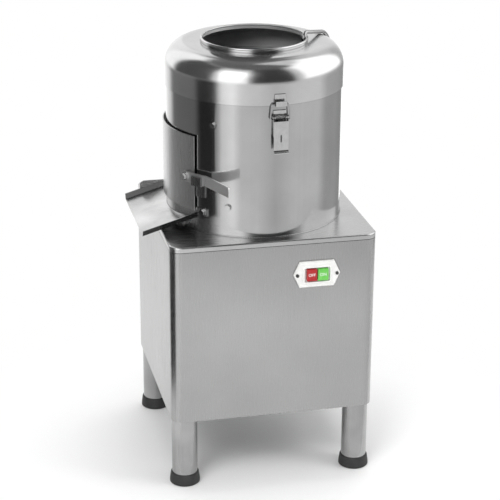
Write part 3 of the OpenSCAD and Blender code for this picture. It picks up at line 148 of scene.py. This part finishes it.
def leaning(tree):
    """Mask for painted shade: 1 on faces that lean like the chute's flanges, 0 on its floor and on
    upright ones.
    """
    slope = add(tree, "SeparateXYZ", Vector=add(tree, "NewGeometry").outputs["True Normal"])
    level = add(tree, "Math", {"operation": "ABSOLUTE"}, _0=slope.outputs["Z"]).outputs[0]
    off_upright = spread(tree, level, 0.0, 1.0, 0.1, 0.3)
    off_level = spread(tree, level, 1.0, 0.0, 0.70, 0.85)
    return add(tree, "Math", {"operation": "MULTIPLY"}, _0=off_upright, _1=off_level).outputs[0]


def stainless(name, dark, light, rough, grain_mm, stretch, streak=0.5, smudge_mm=90, depth=0.004,
              shade_reach_mm=5, inside=None, flange_shade=None, inside_rough=0.62):
    """Stainless steel: a fine grain in one direction, faint streaks, soft smudges and painted shade in
    the corners.

    It may have another tone inside drum and lid, where it is dull, and a darker colour on leaning
    flanges as painted shade.
    """
    mat, tree, shader, place = begin(name)
    fine = noise(tree, place, grain_mm, stretch, detail=3.0)
    wide = noise(tree, place, grain_mm * 6, stretch, detail=2.0)
    smudge = noise(tree, place, smudge_mm, (1, 1, 1), detail=3.0)
    lines = add(tree, "Math", {"operation": "MULTIPLY_ADD"}, _0=wide, _1=streak, _2=smudge).outputs[0]
    fac = spread(tree, lines, 0.0, 1.0, 0.35 + streak * 0.3, 0.65 + streak * 0.7)
    colour = blend_colour(tree, fac, dark, light)
    dull = spread(tree, fine, rough * 0.8, rough * 1.25)
    if inside is not None:
        within = inward(tree)
        colour = blend_colour(tree, within, colour, inside)
        dull = add(tree, "Math", {"operation": "MAXIMUM"}, _0=dull,
                   _1=spread(tree, within, 0.0, inside_rough, 0.0, 1.0)).outputs[0]
    if flange_shade is not None:
        # Painted shade: leaning flanges take a darker colour.
        colour = blend_colour(tree, leaning(tree), colour, flange_shade)
    # Painted shade: the colour darkens in corners and round what lies on the surface.
    tree.links.new(times(tree, colour, painted_corner_shade(tree, shade_reach_mm)), shader.inputs["Base Color"])
    shader.inputs["Metallic"].default_value = 1.0
    tree.links.new(dull, shader.inputs["Roughness"])
    tree.links.new(bump(tree, fine, depth, 0.5), shader.inputs["Normal"])
    return mat


# Vertically brushed stainless sheet: even grey, soft dull reflections.
brushed_sheet = stainless("vertically brushed stainless", srgb("#A4A4A4"), srgb("#AAAAAA"), 0.24,
                          0.5, (1, 1, 120), streak=0.05, smudge_mm=160, depth=0.0006)
# Bright rolled drum sheet: clear upright bands of light and dark, dull inside.
drum_sheet = stainless("bright rolled stainless", srgb("#AEAEAE"), srgb("#B8B8B8"), 0.13,
                       0.6, (1, 1, 120), streak=0.15, inside=srgb("#C0C0C0"))
# Spun lid: satin outside with broad soft highlights, dull inside.
lid_sheet = stainless("satin spun stainless", srgb("#C0C0C0"), srgb("#CACACA"), 0.17,
                      0.8, (3, 3, 1), streak=0.12, inside=srgb("#D0D0D0"))
# Thin bright tube of the water pipe.
pipe_tube = stainless("bright stainless tube", srgb("#9C9C9C"), srgb("#B0B0B0"), 0.12,
                      0.5, (1, 1, 1), streak=0.15, shade_reach_mm=3)
# Top plate, brushed from left to right.
plate_sheet = stainless("cross brushed stainless", srgb("#B6B6B6"), srgb("#C0C0C0"), 0.25,
                        0.5, (120, 1, 1), streak=0.06, depth=0.0008)
# Satin tube of the legs and drain.
satin_tube = stainless("satin stainless tube", srgb("#9C9C9C"), srgb("#B0B0B0"), 0.20,
                       0.5, (1, 1, 40), streak=0.2)
# Chute: bright folded sheet with soft clouds, and painted shade on its flanges.
chute_sheet = stainless("folded stainless", srgb("#B2B2B2"), srgb("#D8D8D8"), 0.24,
                        0.7, (60, 1, 1), streak=0.03, smudge_mm=110, flange_shade=srgb("#4C4C4C"))
# Strap: the same sheet, bright all over.
strap_sheet = stainless("bright strap stainless", srgb("#D4D4D4"), srgb("#DCDCDC"), 0.34,
                        0.7, (60, 1, 1), streak=0.12)
# Door sheet: softer reflections than the drum it lies on.
door_sheet = stainless("dull brushed stainless", srgb("#C4C4C4"), srgb("#CACACA"), 0.30,
                       0.7, (1, 1, 90), streak=0.1)
# Small turned and pressed steel pieces, bright zinc or nickel.
bright_steel = stainless("bright pressed steel", srgb("#A8A8A8"), srgb("#BABABA"), 0.16,
                         0.5, (1, 1, 6), streak=0.2, shade_reach_mm=3)
# Screws of the switch plate, dark all over.
screw_steel = stainless("dark screw steel", srgb("#4A4A4A"), srgb("#5C5C5C"), 0.30,
                        0.4, (1, 1, 1), streak=0.2, shade_reach_mm=2)
# Latches and the strap's bolt: small crisp reflections, with painted shade as dark outlines in the
# corners.
latch_steel = stainless("pressed latch steel", srgb("#C8C8C8"), srgb("#D4D4D4"), 0.18,
                        0.5, (1, 1, 6), streak=0.3, smudge_mm=12, shade_reach_mm=4)


def rubber(name, colour, rough):
    """Matt rubber: nearly black, dusty in patches, with a faint moulded grain."""
    mat, tree, shader, place = begin(name)
    dust = noise(tree, place, 14, detail=4.0)
    grain = noise(tree, place, 0.7, detail=2.0)
    light = tuple(min(1.0, c * 1.9 + 0.008) for c in colour[:3]) + (1.0,)
    tree.links.new(blend_colour(tree, spread(tree, dust, 0.0, 1.0), colour, light),
                   shader.inputs["Base Color"])
    tree.links.new(spread(tree, dust, rough, rough + 0.15), shader.inputs["Roughness"])
    tree.links.new(bump(tree, grain, 0.08, 0.4), shader.inputs["Normal"])
    return mat


# Black feet and seals, without shine.
foot_rubber = rubber("black foot rubber", srgb("#1C1C1C"), 0.55)
seal_rubber = rubber("black seal rubber", srgb("#181818"), 0.6)


def plastic(name, dark, light, rough):
    """Moulded plastic: even colour with a slight cloud and a very fine skin."""
    mat, tree, shader, place = begin(name)
    cloud = noise(tree, place, 9, detail=2.0)
    skin = noise(tree, place, 0.6, detail=2.0)
    tree.links.new(blend_colour(tree, spread(tree, cloud, 0.0, 1.0), dark, light),
                   shader.inputs["Base Color"])
    tree.links.new(spread(tree, skin, rough * 0.85, rough * 1.2), shader.inputs["Roughness"])
    tree.links.new(bump(tree, skin, 0.01, 0.3), shader.inputs["Normal"])
    return mat


# Switch plate and buttons: clean even colours with a soft sheen.
white_plastic = plastic("white moulded plastic", srgb("#E6E6E4"), srgb("#EFEFED"), 0.32)
red_plastic = plastic("red button plastic", srgb("#A60C12"), srgb("#B41218"), 0.28)
green_plastic = plastic("green button plastic", srgb("#5FBF48"), srgb("#74CC5A"), 0.28)
# Letters: flat white print.
letter_white = plastic("white letter print", srgb("#F2F2F0"), srgb("#FAFAFA"), 0.45)
# Switch body, terminal box and gland: dark grey under a soft sheen.
black_plastic = plastic("black moulded plastic", srgb("#1B1B1C"), srgb("#262628"), 0.42)


def casting(name, dark, light):
    """Painted casting: rough skin and soft clouds under a thick satin coat."""
    mat, tree, shader, place = begin(name)
    skin = noise(tree, place, 1.6, detail=5.0)
    cloud = noise(tree, place, 30, detail=3.0)
    tree.links.new(blend_colour(tree, spread(tree, cloud, 0.0, 1.0), dark, light),
                   shader.inputs["Base Color"])
    tree.links.new(spread(tree, skin, 0.4, 0.6), shader.inputs["Roughness"])
    tree.links.new(bump(tree, skin, 0.25, 0.5), shader.inputs["Normal"])
    return mat


# Motor, pulleys and bearing housing: uneven grey paint.
grey_casting = casting("grey painted casting", srgb("#565B60"), srgb("#666C72"))


def abrasive(name):
    """Bonded grit: dark sharp grains in resin, some of them glinting, some worn pale."""
    mat, tree, shader, place = begin(name)
    grain_mm = 1.5
    cells = add(tree, "TexVoronoi", Vector=place, Scale=1000 / grain_mm)
    worn = noise(tree, place, 35, detail=4.0)
    tone = add(tree, "Math", {"operation": "MULTIPLY_ADD"}, _0=cells.outputs["Distance"],
               _1=0.9, _2=worn).outputs[0]
    tree.links.new(blend_colour(tree, spread(tree, tone, 0.0, 1.0, 0.5, 1.3), srgb("#26272A"),
                                srgb("#6A6B6E")), shader.inputs["Base Color"])
    tree.links.new(spread(tree, cells.outputs["Distance"], 0.35, 0.85, 0.0, 0.8),
                   shader.inputs["Roughness"])
    tree.links.new(bump(tree, cells.outputs["Distance"], 0.5, 0.9), shader.inputs["Normal"])
    return mat


# Disc and liner: coarse dark grit with pale worn grains.
grit = abrasive("bonded silicon carbide grit")

FINISH = {
    brushed_sheet: ["cabinet_shell", "rear_cover", "motor_shelf", "frame_rails", "drum_floor",
                    "strap_keeper"],
    plate_sheet: ["top_plate"],
    drum_sheet: ["drum_shell"],
    lid_sheet: ["lid"],
    pipe_tube: ["water_pipe"],
    chute_sheet: ["chute"],
    strap_sheet: ["door_strap"],
    latch_steel: ["latch_strikes", "latch_bases", "latch_lever_front",
                  "latch_lever_rear", "strap_bolt"],
    door_sheet: ["discharge_door"],
    satin_tube: ["front_left_leg", "front_right_leg", "rear_left_leg", "rear_right_leg", "drain_pipe"],
    bright_steel: ["rear_cover_screws", "motor_bolts", "motor_shaft", "main_shaft", "shaft_bearings",
                   "housing_bolts", "disc_nut", "drum_bolts", "pipe_clip", "latch_pins",
                   "latch_bail_front", "latch_bail_rear", "door_hinge_brackets", "door_hinge_pin"],
    screw_steel: ["switch_screws"],
    foot_rubber: ["front_left_foot", "front_right_foot", "rear_left_foot", "rear_right_foot"],
    seal_rubber: ["drive_belt", "shaft_seal", "lid_gasket", "door_gasket"],
    grey_casting: ["motor_body", "motor_end_shield", "motor_fan_cover", "motor_pulley",
                   "main_pulley", "bearing_housing"],
    grit: ["abrasive_disc", "abrasive_liner"],
    black_plastic: ["motor_terminal_box", "switch_body", "cable_gland"],
    white_plastic: ["switch_plate"],
    red_plastic: ["off_button"],
    green_plastic: ["on_button"],
}
for material, names in FINISH.items():
    for name in names:
        NODES[name].data.materials.clear()
        NODES[name].data.materials.append(material)


# Pieces
def put(name, data):
    """A new object with its mesh, curve, lamp or camera, in the scene."""
    obj = bpy.data.objects.new(name, data)
    bpy.context.scene.collection.objects.link(obj)
    return obj


def put_mesh(name, bm):
    """A new object from a mesh that was built."""
    mesh = bpy.data.meshes.new(name)
    bm.to_mesh(mesh)
    bm.free()
    return put(name, mesh)


def mesh_object(name, bm, material, body):
    """A smooth piece that rides on one of the part's bodies."""
    bm.normal_update()
    obj = put_mesh(name, bm)
    for face in obj.data.polygons:
        face.use_smooth = True
    obj.data.materials.append(material)
    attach(obj, body)
    return obj


def join_rings(bm, rings, pairs):
    """Closes the wall between each pair of rings, which have the same count of corners."""
    for one, two in pairs:
        count = len(rings[one])
        for s in range(count):
            bm.faces.new((rings[one][s], rings[two][s], rings[two][(s + 1) % count],
                          rings[one][(s + 1) % count]))


def base_weld():
    """The fine weld all round the drum's foot, with the ripple of its pools."""
    bm = bmesh.new()
    steps, sides, bead_r, rise = 720, 8, 1.1 * MM, 0.33 * MM
    rings = []
    for k in range(steps):
        a = 2 * math.pi * k / steps
        ripple = 1 + 0.18 * math.sin(a * 240) + 0.08 * math.sin(a * 37 + 1)
        ring = []
        for s in range(sides):
            t = 2 * math.pi * s / sides
            reach = DRUM_R + bead_r * ripple * math.cos(t)
            ring.append(bm.verts.new((DRUM_X + reach * math.cos(a), DRUM_Y + reach * math.sin(a),
                                      TOP_Z + rise + bead_r * ripple * math.sin(t))))
        rings.append(ring)
    join_rings(bm, rings, [(k, (k + 1) % steps) for k in range(steps)])
    return mesh_object("drum_base_weld", bm, bright_steel, "stand")


def button_word(word, node, body, size_mm):
    """A short word printed on a button's face."""
    lo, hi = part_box(node)
    print_t = 0.02 * MM
    curve = bpy.data.curves.new(word.lower() + "_lettering", "FONT")
    curve.body = word
    curve.size = size_mm * MM
    curve.align_x = "CENTER"
    curve.align_y = "CENTER"
    curve.extrude = 2 * print_t
    curve.offset = print_t
    obj = put(word.lower() + "_lettering", curve)
    obj.rotation_euler = (math.pi / 2, 0, 0)
    obj.location = ((lo[0] + hi[0]) / 2, lo[1] - print_t, (lo[2] + hi[2]) / 2)
    curve.materials.append(letter_white)
    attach(obj, body)
    return obj


def louvre_hoods():
    """Pressed hoods over the rear cover's slots, open below."""
    lo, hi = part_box("rear_cover")
    rows, pitch, column_x = 7, 16 * MM, 47.5 * MM
    half, deep, tall, over = 31 * MM, 3.2 * MM, 8 * MM, 4 * MM
    border, sunk = 14 * MM, 0.2 * MM
    low = lo[2] + border + (hi[2] - lo[2] - 2 * border) / 4
    across, down = 24, 8
    bm = bmesh.new()
    for row in range(rows):
        for side in (-1, 1):
            z = low + row * pitch + over
            x = (lo[0] + hi[0]) / 2 + side * column_x
            grid = []
            for i in range(across + 1):
                u = i / across * 2 - 1
                swell = math.sqrt(max(0.0, 1 - abs(u) ** 6))
                line = []
                for j in range(down + 1):
                    t = j / down * math.pi / 2
                    line.append(bm.verts.new((x + u * half,
                                              hi[1] - sunk + deep * swell * math.sin(t),
                                              z - tall * (1 - math.cos(t)) * 0.9)))
                grid.append(line)
            for i in range(across):
                for j in range(down):
                    bm.faces.new((grid[i][j], grid[i + 1][j], grid[i + 1][j + 1], grid[i][j + 1]))
    obj = mesh_object("rear_cover_louvre_hoods", bm, brushed_sheet, "stand")
    thick = obj.modifiers.new("sheet thickness", "SOLIDIFY")
    thick.thickness = 0.8 * MM
    return obj


# Where the latches stand round the drum, from its front, and how far their pins stand off it
LATCH_FRONT, LATCH_REAR = 3.2, 183.2
PIN_OFF_DRUM = 5.5 * MM


def latch_spring(name, az_deg):
    """The small coil round a latch's pin, between the ears of its base."""
    az = math.radians(az_deg)
    out = Vector((math.sin(az), -math.cos(az), 0))
    along = Vector((math.cos(az), math.sin(az), 0))
    up = Vector((0, 0, 1))
    pin = Vector((DRUM_X, DRUM_Y, centre("latch_pins")[2])) + out * (DRUM_R + PIN_OFF_DRUM)
    turns, steps, sides = 8, 24, 8
    coil_r, wire_r, half = 2.75 * MM, 0.55 * MM, 8 * MM
    bm = bmesh.new()
    rings = []
    for k in range(turns * steps + 1):
        a = 2 * math.pi * k / steps
        spoke = out * math.cos(a) + up * math.sin(a)
        middle = pin + along * (half * (2 * k / (turns * steps) - 1)) + spoke * coil_r
        ring = []
        for s in range(sides):
            t = 2 * math.pi * s / sides
            ring.append(bm.verts.new(middle + (spoke * math.cos(t) + along * math.sin(t)) * wire_r))
        rings.append(ring)
    join_rings(bm, rings, [(k, k + 1) for k in range(turns * steps)])
    bm.faces.new(rings[0])
    bm.faces.new(rings[-1])
    bmesh.ops.recalc_face_normals(bm, faces=bm.faces)
    return mesh_object(name, bm, bright_steel, "stand")


base_weld()
latch_spring("latch_spring_front", LATCH_FRONT)
latch_spring("latch_spring_rear", LATCH_REAR)
button_word("OFF", "off_button", "off_button", 8.2)
button_word("ON", "on_button", "on_button", 8.6)
louvre_hoods()


# Stage
def floor_material():
    """Pale matt floor that keeps the shadow near the feet and fades to a white backdrop."""
    mat, tree, shader, place = begin("pale studio floor")
    fade_from, fade_to = 0.30, 0.62
    cloud = noise(tree, place, 400, detail=2.0)
    tree.links.new(blend_colour(tree, cloud, srgb("#F2F2F2"), srgb("#F5F5F5")),
                   shader.inputs["Base Color"])
    shader.inputs["Roughness"].default_value = 0.8
    away = add(tree, "VectorMath", {"operation": "LENGTH"}, _0=place).outputs["Value"]
    fade = add(tree, "MapRange", {"interpolation_type": "SMOOTHSTEP"}, Value=away, From_Min=fade_from,
               From_Max=fade_to, To_Min=0.0, To_Max=1.0).outputs["Result"]
    ray = add(tree, "LightPath").outputs["Is Camera Ray"]
    seen = add(tree, "Math", {"operation": "MULTIPLY"}, _0=fade, _1=ray).outputs[0]
    white = add(tree, "Emission", Color=(1, 1, 1, 1), Strength=1.0).outputs["Emission"]
    mix = add(tree, "MixShader", Fac=seen, _1=shader.outputs[0], _2=white)
    tree.links.new(mix.outputs[0], tree.nodes["Material Output"].inputs["Surface"])
    return mat


def floor():
    """A wide floor just under the feet."""
    bm = bmesh.new()
    half, under = 30, 0.5 * MM
    bm.faces.new([bm.verts.new((x * half, y * half, -under))
                  for x, y in ((-1, -1), (1, -1), (1, 1), (-1, 1))])
    obj = put_mesh("floor", bm)
    obj.data.materials.append(floor_material())


# Tone of the studio round the object below the lid, as (azimuth, light): 0 in front, 90 right
RING = [(-180, 1.5), (-158, 1.3), (-143, 1.0), (-133, 0.24), (-90, 0.20), (-82, 0.03), (-60, 0.03),
        (-53, 1.1), (-38, 1.4), (-28, 0.98), (-6, 0.90), (14, 0.70), (38, 0.88), (74, 0.90),
        (88, 0.57), (112, 0.52), (136, 0.34), (146, 1.9), (165, 1.7), (180, 1.5)]
# Large cards above that height, as (azimuths, elevations, light); past 90 is behind the top
CARDS = [((-165, -127), (-7, 60), 1.5), ((-125, -64), (-7, 56), 0.10), ((-56, -22), (-7, 44), 1.9),
         ((-16, 38), (-7, 100), 0.05), ((50, 122), (-2, 60), 1.9), ((124, 140), (-7, 24), 0.62),
         ((144, 200), (-7, 36), 1.0), ((-200, 64), (56, 100), 0.14), ((150, 200), (38, 100), 0.14),
         ((134, 200), (52, 100), 0.14), ((-200, -160), (46, 100), 0.14), ((-200, -158), (-7, 36), 1.2)]
# Tone of the tent where no card hangs, tone of a dark card, and the elevation where the ring ends
WHITE_TENT = 0.85
DARK_CARD = 0.07
RING_TOP = -6
# Degrees over which a card's edge fades
SOFT_EDGE = 7


def ring_tone(az):
    """Tone of the studio round the object at an azimuth, between the nearest two of the list."""
    for (a0, v0), (a1, v1) in zip(RING, RING[1:]):
        if a0 <= az <= a1:
            return v0 + (v1 - v0) * (az - a0) / (a1 - a0)
    return 1.0


def soft(value, low, high):
    """1 between two limits, falling to 0 past them over the soft edge."""
    inside = min(value - low, high - value) / SOFT_EDGE
    return max(0.0, min(1.0, inside + 0.5))


def studio_tone(az, el):
    """Light that comes from one direction of the studio, seen from the lid."""
    tone = WHITE_TENT
    for azimuths, elevations, light in CARDS:
        share = soft(az, *azimuths) * soft(el, *elevations)
        tone += (light - tone) * share
    below = soft(el, -200, RING_TOP)
    return tone + (ring_tone(az) - tone) * below


def card_material():
    """Card that glows with the tone kept in its corners."""
    mat = bpy.data.materials.new("studio cards")
    mat.use_nodes = True
    tree = mat.node_tree
    tree.nodes.clear()
    colour = add(tree, "Attribute", {"attribute_name": "tone"}).outputs["Color"]
    glow = add(tree, "Emission", Color=colour, Strength=1.0).outputs["Emission"]
    tree.links.new(glow, add(tree, "OutputMaterial").inputs["Surface"])
    return mat


studio_cards = card_material()


def card_mesh():
    """An empty mesh and the layer that keeps a tone for each corner."""
    bm = bmesh.new()
    return bm, bm.loops.layers.float_color.new("tone")


def add_card(bm, layer, verts, tones):
    """One face, with a tone for each of its corners."""
    face = bm.faces.new(verts)
    for loop, tone in zip(face.loops, tones):
        loop[layer] = (tone, tone, tone, 1.0)


def hang_card(name, bm):
    """Puts a card up where only reflections see it."""
    obj = put_mesh(name, bm)
    obj.data.materials.append(studio_cards)
    for seen in ("visible_camera", "visible_diffuse", "visible_transmission",
                 "visible_volume_scatter", "visible_shadow"):
        setattr(obj, seen, False)


def studio_walls():
    """A tent of pale and dark cards that only the metal sees, for its bands of light."""
    bm, layer = card_mesh()
    radius, eye, columns, rows = 1.35, 0.80, 180, 45
    # Elevations from the floor's edge up to the top of the tent
    low = -math.degrees(math.atan2(eye, radius))
    grid = []
    for i in range(rows + 1):
        el = low + (90 - low) * i / rows
        rise = math.radians(el)
        # An upright wall below the eye, a dome above it
        reach = radius if el < 0 else radius * math.cos(rise)
        high = eye + radius * (math.tan(rise) if el < 0 else math.sin(rise))
        line = []
        for k in range(columns + 1):
            az = -180 + 360 * k / columns
            a = math.radians(az)
            vert = bm.verts.new((DRUM_X + reach * math.sin(a), DRUM_Y - reach * math.cos(a), high))
            line.append((vert, studio_tone(az, el)))
        grid.append(line)
    for lower, upper in zip(grid, grid[1:]):
        for k in range(columns):
            verts, tones = zip(lower[k], lower[k + 1], upper[k + 1], upper[k])
            add_card(bm, layer, verts, tones)
    hang_card("studio walls", bm)


def flat_card(name, corners, tones):
    """One flat card with a tone for each corner."""
    bm, layer = card_mesh()
    add_card(bm, layer, [bm.verts.new(corner) for corner in corners], tones)
    hang_card(name, bm)


def mouth_flag():
    """Dark card over the lid's mouth, for the shade under its bead."""
    left, right, back = DRUM_X - 88 * MM, DRUM_X + 34 * MM, DRUM_Y - 14 * MM
    lid_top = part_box("lid")[1][2]
    low, high = lid_top + 3 * MM, lid_top + 260 * MM
    corners = [(left, back, low), (right, back, low), (right, back, high), (left, back, high)]
    flat_card("mouth flag", corners, [DARK_CARD] * 4)


def corner_flag():
    """Dark card on the floor beside the near left corner, for the dark line down that corner."""
    near, far, z = 0.45, 1.30, 2 * MM
    turns = [math.radians(az) for az in (-64, -88, -112, -134)]
    outer = [(CAB_LEFT + far * math.sin(a), FRONT_Y - far * math.cos(a), z) for a in turns]
    inner = [(CAB_LEFT + near * math.sin(a), FRONT_Y - near * math.cos(a), z) for a in reversed(turns)]
    flat_card("corner flag", outer + inner, [DARK_CARD] * 8)


def front_card():
    """Pale card on the floor before the cabinet, for the even grey of its front."""
    left, right = CAB_LEFT - 0.15, CAB_RIGHT + 0.9
    near, far, z = FRONT_Y - 0.03, FRONT_Y - 1.25, 3 * MM
    corners = [(left, far, z), (right, far, z), (right, near, z), (left, near, z)]
    flat_card("front card", corners, [1.36, 0.96, 0.84, 0.95])


def softbox(name, at, to, size, energy):
    """A rectangular lamp that looks from one place to another."""
    lamp = bpy.data.lights.new(name, "AREA")
    lamp.shape = "RECTANGLE"
    lamp.size, lamp.size_y = size
    lamp.energy = energy
    obj = put(name, lamp)
    obj.location = at
    obj.rotation_euler = (Vector(to) - Vector(at)).to_track_quat("-Z", "Y").to_euler()


def room():
    """White for the camera and for reflections, and a softer light on the object."""
    room_light = 0.62
    world = bpy.data.worlds.new("white studio")
    bpy.context.scene.world = world
    world.use_nodes = True
    tree = world.node_tree
    tree.nodes.clear()
    ray = add(tree, "LightPath")
    seen = add(tree, "Math", {"operation": "MAXIMUM"}, _0=ray.outputs["Is Camera Ray"],
               _1=ray.outputs["Is Glossy Ray"]).outputs[0]
    seen = add(tree, "Math", {"operation": "MAXIMUM"}, _0=seen,
               _1=ray.outputs["Is Transmission Ray"]).outputs[0]
    white = add(tree, "Background", Color=(1, 1, 1, 1), Strength=1.0)
    light = add(tree, "Background", Color=(1, 1, 1, 1), Strength=room_light)
    mix = add(tree, "MixShader", Fac=seen, _1=light.outputs[0], _2=white.outputs[0])
    out = add(tree, "OutputWorld")
    tree.links.new(mix.outputs[0], out.inputs["Surface"])


# The camera as solved from the photograph's straight edges: its turn, tilt and roll in degrees, its
# place from the middle of the cabinet, and its focal length in pixels of the square picture
CAMERA_TURN, CAMERA_TILT, CAMERA_ROLL = 12.847, 21.170, -0.3316
CAMERA_X, CAMERA_Y, CAMERA_Z = -0.69254, -3.01966, 1.60650
FOCAL_PX, PICTURE_PX = 1660.80, 500


def camera():
    """Stands where the photograph was taken from, a little left of the front and above."""
    yaw, pitch, roll = (math.radians(v) for v in (CAMERA_TURN, CAMERA_TILT, CAMERA_ROLL))
    ahead = Vector((math.sin(yaw) * math.cos(pitch), math.cos(yaw) * math.cos(pitch), -math.sin(pitch)))
    level = Vector((math.cos(yaw), -math.sin(yaw), 0))
    below = ahead.cross(level)
    right = math.cos(roll) * level + math.sin(roll) * below
    down = -math.sin(roll) * level + math.cos(roll) * below
    lens = bpy.data.cameras.new("camera")
    lens.sensor_width = 36
    lens.lens = FOCAL_PX / PICTURE_PX * lens.sensor_width
    lens.clip_end = 100
    obj = put("camera", lens)
    place = Matrix.Translation((CAMERA_X + CAB_X, CAMERA_Y + CAB_Y, CAMERA_Z))
    obj.matrix_world = place @ Matrix((right, -down, -ahead)).transposed().to_4x4()
    bpy.context.scene.camera = obj


floor()
studio_walls()
mouth_flag()
corner_flag()
front_card()
room()
softbox("key softbox", (-1.6, -2.0, 2.6), (0, 0, 0.5), (1.6, 1.2), 45)
softbox("right softbox", (2.2, -1.2, 2.0), (0, 0, 0.5), (1.2, 1.6), 24)
softbox("top softbox", (0.2, 0.6, 3.0), (0, 0, 0.6), (1.8, 1.8), 32)
camera()
bpy.context.scene.view_settings.view_transform = "Standard"
